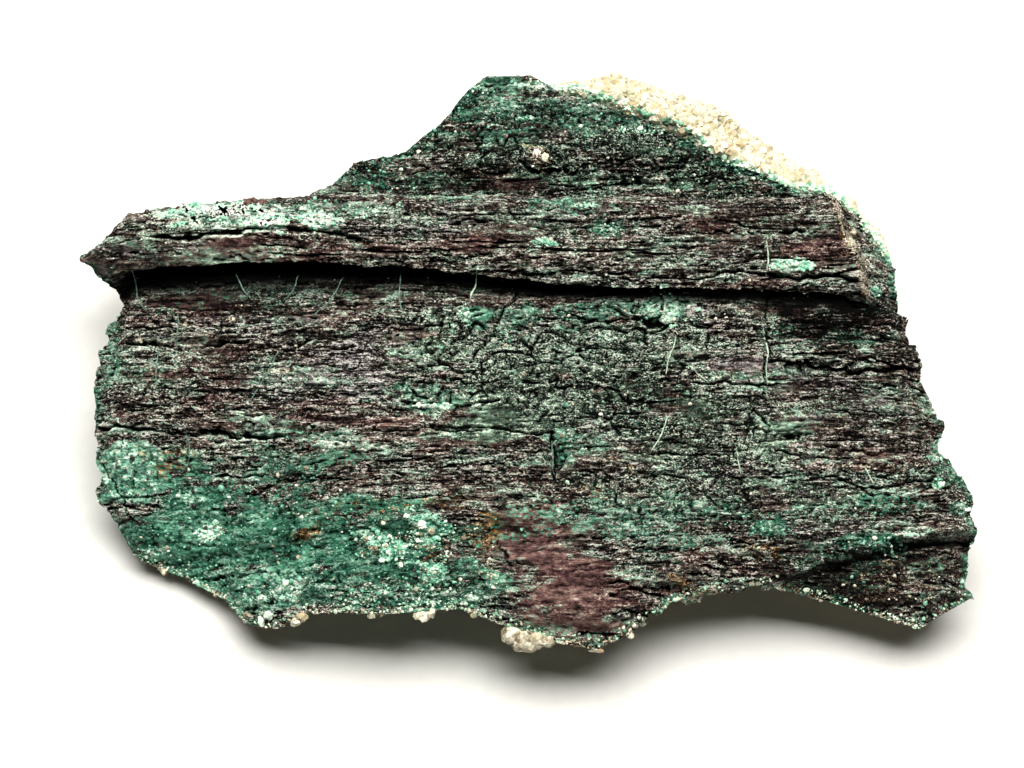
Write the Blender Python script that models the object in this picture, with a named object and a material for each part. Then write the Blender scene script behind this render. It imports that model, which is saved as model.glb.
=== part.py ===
"""A hand specimen of fossil wood turned to chalcocite, with the quartz sandstone that it lay in.

The slab of wood is split along its grain, which runs along X. It carries one raised rib, and rests
on a rind of sandstone that shows as a shelf behind the slab's right-hand edge. Dimensions are in
millimetres, and turn to metres when the vertices are placed. The origin is on the surface that the
stone rests on, under the middle of its box.
"""
import bmesh
import bpy
import numpy as np

MM = 0.001

# Heights above the floor.
FACE_LEVEL = 16.6
VALLEY_LEVEL = 16.2
BEYOND_RIB_LEVEL = 15.4

# The plane on which the slab lies in the sandstone: its height over the origin, how far it rises for
# each millimetre along x and y, and the gap between the two stones.
BED_LEVEL = 7.4
BED_LEAN = (0.045, 0.07)
BED_GAP = 0.3

# Lines of the slab's plan along the grain, each a row of (x, y) points from left to right.
SOUTH_EDGE = ((-62, -27.6), (-57.5, -30.7), (-51, -33), (-44.5, -36.9), (-41, -41.1), (-36, -42.5),
              (-32, -40.3), (-20, -41), (-9, -40), (-2.5, -43), (5, -45.5), (11, -46.5), (16, -44),
              (22, -39.5), (30, -37.9), (37, -37.3), (45, -39), (52, -41), (58.5, -42.9), (66, -38.6))
RIB_FRONT = ((-66.5, 10), (-61, 8.7), (-53, 9.5), (-42, 10.5), (-28, 10.5), (-18, 10), (-6.5, 8.5),
             (5, 7), (19, 6.5), (34, 6.3), (47, 5.5), (60, 4.5))
RIB_BACK = ((-66.5, 13.5), (-63.5, 15.5), (-60, 17.5), (-48, 19.5), (-28, 21), (6, 21), (12, 21.5),
            (27, 20.5), (47, 21), (60, 18))
NORTH_EDGE = ((-66.5, 15.5), (-60, 19), (-49, 21), (-38, 21.5), (-30, 25), (-26, 29.3), (-18, 30.8),
              (-12.5, 35.5), (-8.5, 41.5), (-5.5, 43.7), (1.5, 44), (6, 41.5), (18.5, 36.5),
              (26, 32.5), (30, 29), (36, 27), (41, 23.8), (48, 23), (60, 21.5))

# The slab's ends across the grain, each a row of (y, x) points from near to far. The rib's tip
# stands clear of the slab's left end, and the rib breaks off short of its right end.
LEFT_END = ((-32, -57.5), (-27.5, -63), (-22, -63.8), (-11, -63.9), (-2, -63), (4.5, -61.5), (20, -60))
RIB_TIP = ((8, -61), (9.5, -65), (11.5, -67.3), (13.5, -66.6), (16, -63.4), (18, -60.5), (20, -59.5))
RIGHT_END = ((-40, 66.2), (-34, 65.8), (-28.5, 66.6), (-22, 65), (-17.5, 62.3), (-13, 63), (-5, 59.8),
             (2, 58.6), (7, 57.7), (11.5, 56.5), (15, 54.5), (18.5, 52), (23, 48))
RIB_RIGHT_END = ((5, 51.5), (12, 50), (15, 48.5), (18.5, 47.5), (21.5, 47))
END_SPLINTER = 0.9

# The shares of the slab's rows, from its near edge, 0, to its far one, 1, at which the rib's foot,
# underside, lip and back and the valley behind it lie, and where those rows meet the slab's ends.
FOOT, UNDERSIDE, LIP, BACK, VALLEY = 0.57, 0.605, 0.64, 0.81, 0.845
END_ROWS = (0, FOOT, LIP, BACK, 1)
LEFT_END_Y = (-32, 9, 9.5, 17, 20)
RIGHT_END_Y = (-40, 3, 4.5, 17, 23)

# The rib's section: the height of its lip and the depth of the hollow under it, along x, and its
# rise above the lip, from the lip, 0, to the back, 1.
LIP_HEIGHT = ((-66.5, 20.3), (-55, 20.6), (-20, 20.4), (5, 19.9), (50, 19.3))
UNDERCUT = ((-66, 0.5), (-58, 2.2), (-50, 3.2), (-20, 3.2), (-5, 2.2), (20, 1.6), (48, 1.2), (51, 0))
RIB_RISE = ((0, 0), (0.08, 1.3), (0.28, 2.6), (0.45, 3.4), (0.58, 2.6), (0.72, 3.3), (0.9, 2.4), (1, 0.8))
TIP_DROP = 3.0
VALLEY_WIDTH = 1.5
PEAK_CLIMB = 3.0

# The lower layer at the near right, south of the broken lip of the upper one, and the low ground
# at the near left.
LAYER_LIP = ((12, -50), (18, -42), (24, -38.5), (37, -37), (42, -35), (49, -33), (56, -31.5), (66, -29.5))
LAYER_DROP = 4.2
NEAR_LEFT_DROP = 10.0

# The crust that ends along a line across the grain, the step beyond it, and the hollows of the
# main face: centre x, centre y, half-length, half-width, depth.
CRUST_END_X = 36.5
CRUST_HEIGHT = 0.9
STEP_HEIGHT = 0.8
HOLLOWS = ((-36, -14.8, 17, 1.6, 1.2), (-50, -1.2, 10, 1.5, 0.9), (46, -5.5, 12, 1.6, 1.3),
           (4.5, -18.5, 1.8, 4.2, 1.6), (20, 0.5, 3.5, 2.4, 1.2), (36, -15.5, 9, 1.5, 0.9),
           (-6, 2, 3, 5, 0.8), (3, 28, 7, 1.6, 0.9), (-45, -27, 6, 3, 0.8), (-12, -22, 9, 1.8, 0.8))

# The slab's rim rounds off over its width, and its walls draw in to a smaller underside.
SLAB_LENGTH, FACE_DEPTH, BACK_DEPTH = 120.0, 75.0, 40.0
RIM_WIDTH = 4.5
RIM_DROP = 2.4
UNDERSIDE_SHARE = (0.965, 0.955)
WALL_ROUGHNESS = 3.0

# The sandstone: how far it stands in from the slab's edges, under the slab and at the floor.
NEAR_INSET = ((-62, 1.0), (-50, 0.7), (-44, -0.3), (-30, 0.3), (-6, 0.6), (-3.6, 0.2), (-2.4, -1.6),
              (-0.6, -2.9), (1.6, -2.7), (3.4, -1.9), (5.2, 0.2), (9, 0.8), (17, 0.5), (22, 1.9), (62, 1.2))
FOOT_INSET = ((-60, 1.2), (-45, 1.0), (-36, 3.0), (-20, 6.0), (20, 7.0), (60, 8.0))
END_INSET, END_FOOT_INSET = 1.0, 4.0
MATRIX_RIGHT_END = ((-38, 63), (-28, 63), (-5, 56.5), (5, 58.5), (22, 56))
MATRIX_LUMP = 9.0

# The shelf of sandstone beyond the slab's far edge: its inner and outer lines and its height along
# x, how far it falls from the one to the other, and the share of the rows at which it starts.
SHELF_INNER = NORTH_EDGE[:-2] + ((48, 23), (52, 18.5), (54.5, 15), (56.5, 11.5), (57.5, 7), (59.5, 4))
SHELF_OUTER = ((-60, 21.3), (-38, 24), (-30, 26.5), (-26, 31), (-18, 33), (-12.5, 38), (-8.5, 44),
               (-4, 46.2), (3, 46.4), (11, 46.8), (15.5, 47.4), (20.5, 45), (27, 43), (32.5, 40),
               (38, 35.3), (47, 29), (53, 23.5), (57, 17.5), (59.5, 10))
SHELF_HEIGHT = ((-60, 8.0), (2, 8.0), (7, 11.5), (14, 14.0), (30, 13.5), (48, 12.5), (57, 12.0))
SHELF_FALL = 4.5
SHELF_LUMP = 1.5
SHELF_START = 0.84
SHELF_CLEARANCE = 1.2
SHELF_WALL = 0.5
SHELF_MIN_WIDTH = 1.2
SHELF_FOOT_INSET = 3.0

# The underside is level where it rests, also round the middle, and hollowed elsewhere, by at most a
# share of the sandstone's height there.
REST_CENTRE = (2.0, -6.0)
REST_RADIUS = 12.0
BOTTOM_HOLLOW = 2.2
HOLLOW_SHARE = 0.4

LATTICE_SIZE = 64
LATTICE = np.random.default_rng(29).uniform(-1, 1, (LATTICE_SIZE, LATTICE_SIZE))


def along(line, value):
    """The second number of a line's points, read off straight between them at the first."""
    points = np.array(line, dtype=float)
    return np.interp(value, points[:, 0], points[:, 1])


def smooth(value, low, high):
    """0 below low, 1 above high, and an S-shaped rise between them."""
    t = np.clip((value - low) / (high - low), 0, 1)
    return t * t * (3 - 2 * t)


def noise(x, y, length, width, seed):
    """Value noise from -1 to 1, with lumps of the given length along x and width along y."""
    across = x / length + seed * 7.31
    up = y / width + seed * 3.17
    column = np.floor(across).astype(int)
    row = np.floor(up).astype(int)
    s = smooth(across - column, 0, 1)
    t = smooth(up - row, 0, 1)
    column, next_column = column % LATTICE_SIZE, (column + 1) % LATTICE_SIZE
    row, next_row = row % LATTICE_SIZE, (row + 1) % LATTICE_SIZE
    near = LATTICE[row, column] * (1 - s) + LATTICE[row, next_column] * s
    far = LATTICE[next_row, column] * (1 - s) + LATTICE[next_row, next_column] * s
    return near * (1 - t) + far * t


def bed_height(x, y):
    """Height of the plane on which the slab lies."""
    return BED_LEVEL + BED_LEAN[0] * x + BED_LEAN[1] * y


def grain(x, y):
    """Ridges that run with the wood's grain, a broad set and a narrower one, and troughs."""
    wander = noise(x, y, 30, 14, 5) * 1.5
    broad = noise(x, y + wander, 34, 4.4, 1)
    narrow = noise(x, y + wander, 20, 2.8, 2)
    return broad * 0.8 + narrow * 0.6 - 0.5 * smooth(-broad, 0.3, 0.8)


def face_height(x, y):
    """The main split face: nearly level, lower at the near left, with steps, hollows and ridges."""
    z = FACE_LEVEL + 0.02 * (y + 10) + grain(x, y)
    z -= NEAR_LEFT_DROP * smooth(-x, 22, 50) * smooth(-y, 8, 34)
    crust = (1 - smooth(x, CRUST_END_X - 0.8, CRUST_END_X + 0.8)) * smooth(x, 8, 26)
    z += CRUST_HEIGHT * crust * smooth(y, -11, -8)
    z += STEP_HEIGHT * smooth(x, CRUST_END_X, CRUST_END_X + 3) * smooth(y, -4.6, -2.8)
    for centre_x, centre_y, half_length, half_width, depth in HOLLOWS:
        distance = np.hypot((x - centre_x) / half_length, (y - centre_y) / half_width)
        z -= depth * (1 - smooth(distance, 0.35, 1.0))
    return z - LAYER_DROP * smooth(along(LAYER_LIP, x) - y, -0.3, 1.5)


def between_rows(v, rows, places):
    """Share out points between rows that lie at the given places."""
    spread = np.zeros_like(v)
    for low, high, place_low, place_high in zip(rows[:-1], rows[1:], places[:-1], places[1:]):
        share = (v - low) / (high - low)
        spread = np.where((v >= low) & (v <= high), place_low + (place_high - place_low) * share, spread)
    return spread


def wood_plan(u, v, standing_out):
    """Plan place of a point of the slab. standing_out is 1 on the top face, where the rib hangs over
    the face in front of it and over the left end, and 0 on the flat underside."""
    left_y = np.interp(v, END_ROWS, LEFT_END_Y)
    left = along(LEFT_END, left_y)
    on_rib = smooth(v, UNDERSIDE - 0.02, LIP) * (1 - smooth(v, VALLEY, 1.0))
    left += (along(RIB_TIP, left_y) - left) * on_rib * standing_out
    right = along(RIGHT_END, np.interp(v, END_ROWS, RIGHT_END_Y))
    splinter = noise(v * FACE_DEPTH, u, 2.4, 1.0, 7) * (smooth(u, 0.94, 1.0) - smooth(-u, -0.06, 0.0))
    x = left + (right - left) * u + END_SPLINTER * splinter

    front, back, north = along(RIB_FRONT, x), along(RIB_BACK, x), along(NORTH_EDGE, x)
    hollowed = smooth(u, 0, 0.05) * (1 - smooth(u, 0.9, 0.97)) * standing_out
    foot = front - 1.0 + (along(UNDERCUT, x) + 1.0) * hollowed
    underside = front + 0.75 * (foot - front)
    valley = back + np.minimum(VALLEY_WIDTH, 0.5 * (north - back))
    rows = (0, FOOT, UNDERSIDE, LIP, BACK, VALLEY, 1)
    return x, between_rows(v, rows, (along(SOUTH_EDGE, x), foot, underside, front, back, valley, north))


def wood_top_height(u, v, x, y):
    """Height of the slab's top: the face, the rib over it, and the rising ground behind the rib."""
    face = face_height(x, y)
    lip = along(LIP_HEIGHT, x) + 0.4 * noise(x, 0 * y, 9, 1, 3)
    rib = lip + along(RIB_RISE, (v - LIP) / (BACK - LIP)) + 0.5 * grain(x, 1.4 * y)
    rib -= TIP_DROP * smooth(-x, 58, 66) * smooth(v, LIP, BACK)
    climb = np.clip((v - VALLEY) / (1 - VALLEY), 0, 1)
    ground = VALLEY_LEVEL + PEAK_CLIMB * climb * smooth(x, -40, -10) + grain(x, 1.2 * y)
    z = np.where(v < LIP, face + (lip - face) * np.clip((v - FOOT) / (LIP - FOOT), 0, 1), rib)
    z = np.where(v > BACK, rib + (ground - rib) * np.clip((v - BACK) / (VALLEY - BACK), 0, 1), z)
    beyond_rib = smooth(x - along(RIB_RIGHT_END, y), -0.5, 2.8) * smooth(v, FOOT, UNDERSIDE)
    z += (BEYOND_RIB_LEVEL + grain(x, y) - z) * beyond_rib
    to_rim = np.minimum.reduce((v * FACE_DEPTH, (1 - v) * BACK_DEPTH, u * SLAB_LENGTH, (1 - u) * SLAB_LENGTH))
    return z - RIM_DROP * (1 - smooth(to_rim, 0, RIM_WIDTH)) ** 1.5


def wood_place(u, v, w):
    """Every point of the slab: its top at w = 1, walls that draw in below it, a flat underside."""
    x_top, y_top = wood_plan(u, v, 1.0)
    x_low, y_low = wood_plan(0.5 + (u - 0.5) * UNDERSIDE_SHARE[0], 0.5 + (v - 0.5) * UNDERSIDE_SHARE[1], 0.0)
    z_top = wood_top_height(u, v, x_top, y_top)
    ragged = w * (1 - w) * WALL_ROUGHNESS * noise(x_top + y_top, z_top * w, 4.0, 2.5, 8)
    x = x_low + (x_top - x_low) * w ** 2 - ragged * (u - 0.5)
    y = y_low + (y_top - y_low) * w ** 2 - ragged * (v - 0.5)
    bed = bed_height(x_low, y_low)
    return x, y, bed + (z_top - bed) * w


def matrix_plan(u, v, w):
    """Plan place of a point of the sandstone: under the slab up to its far edge, then the shelf."""
    end_inset = END_INSET + (END_FOOT_INSET - END_INSET) * (1 - w)
    level_y = -38 + 60 * v
    left = along(LEFT_END, level_y) + end_inset
    right = along(MATRIX_RIGHT_END, level_y) - end_inset
    x = left + (right - left) * u
    south = along(SOUTH_EDGE, x) + along(NEAR_INSET, x) * w + along(FOOT_INSET, x) * (1 - w)
    inner = along(SHELF_INNER, x) + SHELF_CLEARANCE
    outer = np.maximum(along(SHELF_OUTER, x), inner + SHELF_MIN_WIDTH) - SHELF_FOOT_INSET * (1 - w)
    under = south + (inner - south) * v / SHELF_START
    shelf = inner + SHELF_WALL + (outer - inner - SHELF_WALL) * (v - SHELF_START) / (1 - SHELF_START)
    level = south + (outer - south) * v
    return x, level + (np.where(v <= SHELF_START, under, shelf) - level) * w


def matrix_place(u, v, w):
    """Every point of the sandstone: flat under the slab, a lumpy shelf and walls, and a hollowed
    underside that is level where it rests."""
    x, y = matrix_plan(u, v, w)
    outward = np.clip((v - SHELF_START) / (1 - SHELF_START), 0, 1)
    shelf = along(SHELF_HEIGHT, x) - SHELF_FALL * outward ** 1.5
    shelf += SHELF_LUMP * noise(x, y, 3.6, 3.6, 11) * smooth(x, 4, 9)
    bed = bed_height(*matrix_plan(u, v, 1.0)) - BED_GAP
    top = bed + (shelf - bed) * smooth(v, SHELF_START, SHELF_START + 0.03)
    lump = w * (1 - w) * MATRIX_LUMP * noise(x + 0.7 * y, top * w + 0.3 * y, 5.0, 3.0, 13)
    x = x - lump * (u - 0.5)
    y = y - lump * (v - 0.5)
    hollow = BOTTOM_HOLLOW * np.clip(noise(x, y, 13, 11, 17) + noise(x, y, 5, 5, 19) * 0.5, 0, 1)
    hollow *= smooth(np.hypot(x - REST_CENTRE[0], y - REST_CENTRE[1]), REST_RADIUS, REST_RADIUS + 5)
    hollow = np.minimum(hollow, HOLLOW_SHARE * top)
    return x, y, hollow + (top - hollow) * w


def unit_block(columns, rows, layers):
    """A block from 0 to 1 each way, with a grid on its top and bottom and layers up its walls."""
    mesh = bmesh.new()
    bmesh.ops.create_grid(mesh, x_segments=columns, y_segments=rows, size=0.5)
    bmesh.ops.translate(mesh, verts=mesh.verts, vec=(0.5, 0.5, 1.0))
    extruded = bmesh.ops.extrude_face_region(mesh, geom=list(mesh.faces))
    lower = [item for item in extruded["geom"] if isinstance(item, bmesh.types.BMVert)]
    bmesh.ops.translate(mesh, verts=lower, vec=(0, 0, -1))
    upright = [edge for edge in mesh.edges if abs(edge.verts[0].co.z - edge.verts[1].co.z) > 0.5]
    bmesh.ops.subdivide_edges(mesh, edges=upright, cuts=layers - 1, use_grid_fill=True)
    bmesh.ops.recalc_face_normals(mesh, faces=mesh.faces)
    return mesh


def move_to_place(mesh, place):
    """Move each point of a unit block to its place on the stone, in metres."""
    unit = np.clip(np.round([point.co for point in mesh.verts], 6), 0, 1)
    for point, co in zip(mesh.verts, np.stack(place(*unit.T), axis=1) * MM):
        point.co = co


def stone_finish(name, colour, roughness, metallic):
    finish = bpy.data.materials.new(name)
    finish.use_nodes = True
    shader = finish.node_tree.nodes["Principled BSDF"]
    shader.inputs["Base Color"].default_value = (*colour, 1.0)
    shader.inputs["Roughness"].default_value = roughness
    shader.inputs["Metallic"].default_value = metallic
    return finish


def add_part(name, mesh, finish, collection):
    data = bpy.data.meshes.new(name)
    mesh.to_mesh(data)
    mesh.free()
    data.materials.append(finish)
    collection.objects.link(bpy.data.objects.new(name, data))


def make_wood(collection):
    mesh = unit_block(columns=42, rows=56, layers=3)
    underside = [face for face in mesh.faces if all(point.co.z < 0.01 for point in face.verts)]
    move_to_place(mesh, wood_place)
    bmesh.ops.dissolve_faces(mesh, faces=underside, use_verts=True)
    finish = stone_finish("chalcocite", (0.075, 0.055, 0.052), 0.5, 0.3)
    add_part("chalcocite_wood", mesh, finish, collection)


def make_matrix(collection):
    mesh = unit_block(columns=34, rows=26, layers=4)
    move_to_place(mesh, matrix_place)
    finish = stone_finish("quartz_sandstone", (0.72, 0.63, 0.46), 0.8, 0.0)
    add_part("quartz_matrix", mesh, finish, collection)


def main():
    for old in list(bpy.data.objects):
        bpy.data.objects.remove(old)
    collection = bpy.data.collections.new("chalcocite_pseudomorph")
    bpy.context.scene.collection.children.link(collection)
    make_wood(collection)
    make_matrix(collection)


main()
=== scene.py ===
"""The looks of a hand specimen of fossil wood turned to chalcocite, on its rind of quartz sandstone.

The slab of wood is drawn in four pieces that meet along natural lines: the near face, the middle
face, the rib and the ground behind it. The rind of sandstone is a fifth. Each keeps to the solid's
outline, apart from the near rim and the wall below it, and adds splinters, cracks and crusts. Sand
grains, crumbs of malachite, crystals and veinlets lie on them as meshes of their own. Dimensions are
in millimetres, and turn to metres when a mesh is made. x runs along the grain, from left to right,
and y away from the near edge.
"""

import math

import bpy
import numpy as np
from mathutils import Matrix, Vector


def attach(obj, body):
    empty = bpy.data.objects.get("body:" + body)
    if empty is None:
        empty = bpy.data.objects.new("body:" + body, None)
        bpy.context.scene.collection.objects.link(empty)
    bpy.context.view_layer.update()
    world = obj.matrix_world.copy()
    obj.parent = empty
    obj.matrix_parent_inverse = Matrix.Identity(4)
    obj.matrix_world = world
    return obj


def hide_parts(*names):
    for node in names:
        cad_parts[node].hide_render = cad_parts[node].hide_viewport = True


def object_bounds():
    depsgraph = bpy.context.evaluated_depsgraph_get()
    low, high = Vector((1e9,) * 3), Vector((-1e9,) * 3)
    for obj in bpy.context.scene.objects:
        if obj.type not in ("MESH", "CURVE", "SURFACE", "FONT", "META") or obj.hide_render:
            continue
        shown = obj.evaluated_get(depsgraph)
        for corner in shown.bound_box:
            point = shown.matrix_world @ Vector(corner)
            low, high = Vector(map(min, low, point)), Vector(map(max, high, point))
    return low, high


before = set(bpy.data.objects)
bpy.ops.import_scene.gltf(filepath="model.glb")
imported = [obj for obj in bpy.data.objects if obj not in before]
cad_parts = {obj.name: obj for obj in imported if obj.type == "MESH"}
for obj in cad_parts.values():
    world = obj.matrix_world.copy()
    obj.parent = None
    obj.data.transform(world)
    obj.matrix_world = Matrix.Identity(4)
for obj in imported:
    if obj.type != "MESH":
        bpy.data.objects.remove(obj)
CAD_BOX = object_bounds()

MM = 0.001
BODY = "root"
# Every point keeps this far inside the solid's own box.
BOX_MARGIN = 0.02

# ---------------------------------------------------------------------------------------------
# The outline, which is the solid's own but for the near rim and the wall below it.

# Heights above the floor.
FACE_LEVEL = 16.6
VALLEY_LEVEL = 16.2
BEYOND_RIB_LEVEL = 15.4
# The face's rise for each millimetre of y past the line on which it is level.
FACE_SLOPE = 0.02
LEVEL_Y = -10.0

# The broad and the narrow ridges along the grain, as height, length and width, the depth of the
# troughs between the broad ones, and how far the grain wanders, over what length and width.
BROAD_HEIGHT, BROAD_LENGTH, BROAD_WIDTH = 0.8, 34, 4.4
NARROW_HEIGHT, NARROW_LENGTH, NARROW_WIDTH = 0.6, 20, 2.8
TROUGH_DEPTH = 0.5
WANDER, WANDER_LENGTH, WANDER_WIDTH = 1.5, 30, 14
# On the rib the ridges are less high, by a share, and closer, and behind it they are a little closer.
RIB_RIDGES, RIB_CLOSER, GROUND_CLOSER = 0.5, 1.4, 1.2

# The plane on which the slab lies in the sandstone: its height over the origin, how far it rises for
# each millimetre along x and y, and the gap between the two stones.
BED_LEVEL = 7.4
BED_LEAN = (0.045, 0.07)
BED_GAP = 0.3

# Lines of the slab's plan along the grain, each a row of (x, y) points from left to right.
SOUTH_EDGE = ((-62, -27.6), (-57.5, -30.7), (-51, -33), (-44.5, -36.9), (-41, -41.1), (-36, -42.5),
              (-32, -40.3), (-20, -41), (-9, -40), (-2.5, -43), (5, -45.5), (11, -46.5), (16, -44),
              (22, -39.5), (30, -37.9), (37, -37.3), (45, -39), (52, -41), (58.5, -42.9), (66, -38.6))
RIB_FRONT = ((-66.5, 10), (-61, 8.7), (-53, 9.5), (-42, 10.5), (-28, 10.5), (-18, 10), (-6.5, 8.5),
             (5, 7), (19, 6.5), (34, 6.3), (47, 5.5), (60, 4.5))
RIB_BACK = ((-66.5, 13.5), (-63.5, 15.5), (-60, 17.5), (-48, 19.5), (-28, 21), (6, 21), (12, 21.5),
            (27, 20.5), (47, 21), (60, 18))
NORTH_EDGE = ((-66.5, 15.5), (-60, 19), (-49, 21), (-38, 21.5), (-30, 25), (-26, 29.3), (-18, 30.8),
              (-12.5, 35.5), (-8.5, 41.5), (-5.5, 43.7), (1.5, 44), (6, 41.5), (18.5, 36.5),
              (26, 32.5), (30, 29), (36, 27), (41, 23.8), (48, 23), (60, 21.5))

# The slab's ends across the grain, each a row of (y, x) points from near to far. The rib's tip
# stands clear of the slab's left end, and the rib breaks off short of its right end, over a stretch
# on both sides of that line.
LEFT_END = ((-32, -57.5), (-27.5, -63), (-22, -63.8), (-11, -63.9), (-2, -63), (4.5, -61.5), (20, -60))
RIB_TIP = ((8, -61), (9.5, -65), (11.5, -67.3), (13.5, -66.6), (16, -63.4), (18, -60.5), (20, -59.5))
RIGHT_END = ((-40, 66.2), (-34, 65.8), (-28.5, 66.6), (-22, 65), (-17.5, 62.3), (-13, 63), (-5, 59.8),
             (2, 58.6), (7, 57.7), (11.5, 56.5), (15, 54.5), (18.5, 52), (23, 48))
RIB_RIGHT_END = ((5, 51.5), (12, 50), (15, 48.5), (18.5, 47.5), (21.5, 47))
RIB_BREAK = (-0.5, 2.8)
# How far splinters of the ends stick out, how wide they are, and the share of the length they take.
END_SPLINTER, END_SPLINTER_WIDTH, END_BAND = 0.9, 2.4, 0.06

# The shares of the slab's rows, from its near edge, 0, to its far one, 1, at which the rib's foot,
# underside, lip and back and the valley behind it lie, and where those rows meet the slab's ends.
FOOT, UNDERSIDE, LIP, BACK, VALLEY = 0.57, 0.605, 0.64, 0.81, 0.845
END_ROWS = (0, FOOT, LIP, BACK, 1)
LEFT_END_Y = (-32, 9, 9.5, 17, 20)
RIGHT_END_Y = (-40, 3, 4.5, 17, 23)

# The rib's section: the height of its lip, which waves a little, and the depth of the hollow under
# it, along x, and its rise above the lip, from the lip, 0, to the back, 1.
LIP_HEIGHT = ((-66.5, 20.3), (-55, 20.6), (-20, 20.4), (5, 19.9), (50, 19.3))
LIP_WAVE, LIP_WAVE_LENGTH = 0.4, 9
UNDERCUT = ((-66, 0.5), (-58, 2.2), (-50, 3.2), (-20, 3.2), (-5, 2.2), (20, 1.6), (48, 1.2), (51, 0))
RIB_RISE = ((0, 0), (0.08, 1.3), (0.28, 2.6), (0.45, 3.4), (0.58, 2.6), (0.72, 3.3), (0.9, 2.4), (1, 0.8))
# The stretches of the slab's length over which the hollow opens and closes, the share of its depth
# that is reached at the rib's underside, and how far the rib's foot stands out where it is closed.
UNDERCUT_OPENS, UNDERCUT_CLOSES = (0, 0.05), (0.9, 0.97)
UNDERSIDE_REACH = 0.75
FOOT_LEDGE = 1.0
# How far the rib's tip drops, over a stretch of -x, the width of the valley behind the rib, and how
# far the ground climbs from it to the peak, which starts over a stretch of x.
TIP_DROP, TIP_FALL = 3.0, (58, 66)
VALLEY_WIDTH = 1.5
PEAK_CLIMB, PEAK_START = 3.0, (-40, -10)

# The lower layer at the near right, this side of the broken lip of the upper one: the lip, the depth
# and the length of its chips, the layer's drop, and the steps of that drop, each with its share and
# with where past the lip it starts and ends.
LAYER_LIP = ((12, -50), (18, -42), (24, -38.5), (37, -37), (42, -35), (49, -33), (56, -31.5), (66, -29.5))
CHIP_DEPTH, CHIP_LENGTH = 0.6, 2.6
LAYER_DROP = 4.2
LAYER_STEPS = ((0.65, -0.1, 0.7), (0.35, 0.7, 9))
# The low ground at the near left: its drop, and the stretches of -x and of -y over which it falls.
NEAR_LEFT_DROP = 10.0
NEAR_LEFT_X, NEAR_LEFT_Y = (22, 50), (8, 34)

# The crust that ends along a line across the grain: that line, the crust's height, the half-width of
# its edge, and the stretches of x and y over which it starts. Then the step beyond it: its height,
# its run along x and the stretch of y over which it starts.
CRUST_END_X = 36.5
CRUST_HEIGHT, CRUST_EDGE = 0.9, 0.8
CRUST_START_X, CRUST_START_Y = (8, 26), (-11, -8)
STEP_HEIGHT, STEP_RUN, STEP_START_Y = 0.8, 3, (-4.6, -2.8)
# The hollows of the main face: centre x, centre y, half-length, half-width, depth.
HOLLOWS = ((-36, -14.8, 17, 1.6, 1.2), (-50, -1.2, 10, 1.5, 0.9), (46, -5.5, 12, 1.6, 1.3),
           (4.5, -18.5, 1.8, 4.2, 1.6), (20, 0.5, 3.5, 2.4, 1.2), (36, -15.5, 9, 1.5, 0.9),
           (-6, 2, 3, 5, 0.8), (3, 28, 7, 1.6, 0.9), (-45, -27, 6, 3, 0.8), (-12, -22, 9, 1.8, 0.8))

# The slab's length and the depths of its face and of the ground behind the rib, the width and drop
# over which its rim rounds off and the power that rolls it over, and the shares of its length and
# depth that are left at its underside. The walls stand out and in by their roughness, and by lumps
# of their own: height, slant, length, thickness and seed.
SLAB_LENGTH, FACE_DEPTH, BACK_DEPTH = 120.0, 75.0, 40.0
RIM_WIDTH = 4.5
RIM_DROP = 2.4
ROLL = 1.5
UNDERSIDE_SHARE = (0.965, 0.955)
WALL_ROUGHNESS = 3.0
WALL_LUMPS = ((1.8, 0.4, 3.0, 0.8, 71), (1.0, 0.7, 0.9, 0.5, 72))
# Past the solid's own shape, the near rim bulges out and rolls over by so much along x, over its
# width, and the wall below it is tucked in, so that the rim overhangs and shades it.
NEAR_BULGE = ((-62, 0.5), (-50, 0.7), (-44, 0.5), (-36, 0.5), (-30, 1.0), (-8, 1.0), (-3, 0.6),
              (11, 0.35), (20, 0.4), (26, 0.2), (66, 0))
NEAR_RIM_DROP = ((-50, 0.2), (-36, 0.6), (-8, 0.8), (-3, 1.6), (16, 1.8), (22, 0.8), (30, 0.2), (66, 0.2))
NEAR_RIM_WIDTH = 5.0
NEAR_TUCK = 2.5

# The sandstone: how far it stands in from the slab's edges, under the slab and at the floor. Its near
# wall stands further in than the solid's, below the tucked wall of the slab. Its walls are lumpy and
# show their grains, and so do the underside and, as bumps, the shelf.
NEAR_INSET = ((-62, 3.2), (-50, 3.0), (-44, 2.2), (-30, 2.8), (-6, 3.0), (17, 3.0), (22, 3.2),
              (62, 2.6))
FOOT_INSET = ((-60, 3.2), (-45, 3.2), (-36, 4.0), (-20, 6.0), (20, 7.0), (60, 8.0))
END_INSET, END_FOOT_INSET = 1.0, 4.0
# Its ends are read off at a y that starts near the slab's near edge and runs on over its depth.
MATRIX_NEAR_Y, MATRIX_DEPTH = -38, 60
MATRIX_RIGHT_END = ((-38, 63), (-28, 63), (-5, 56.5), (5, 58.5), (22, 56))
MATRIX_LUMP, MATRIX_GRAIN = 9.0, 3.0
UNDERSIDE_GRAIN, SHELF_GRAIN = 0.5, 0.7

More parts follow.
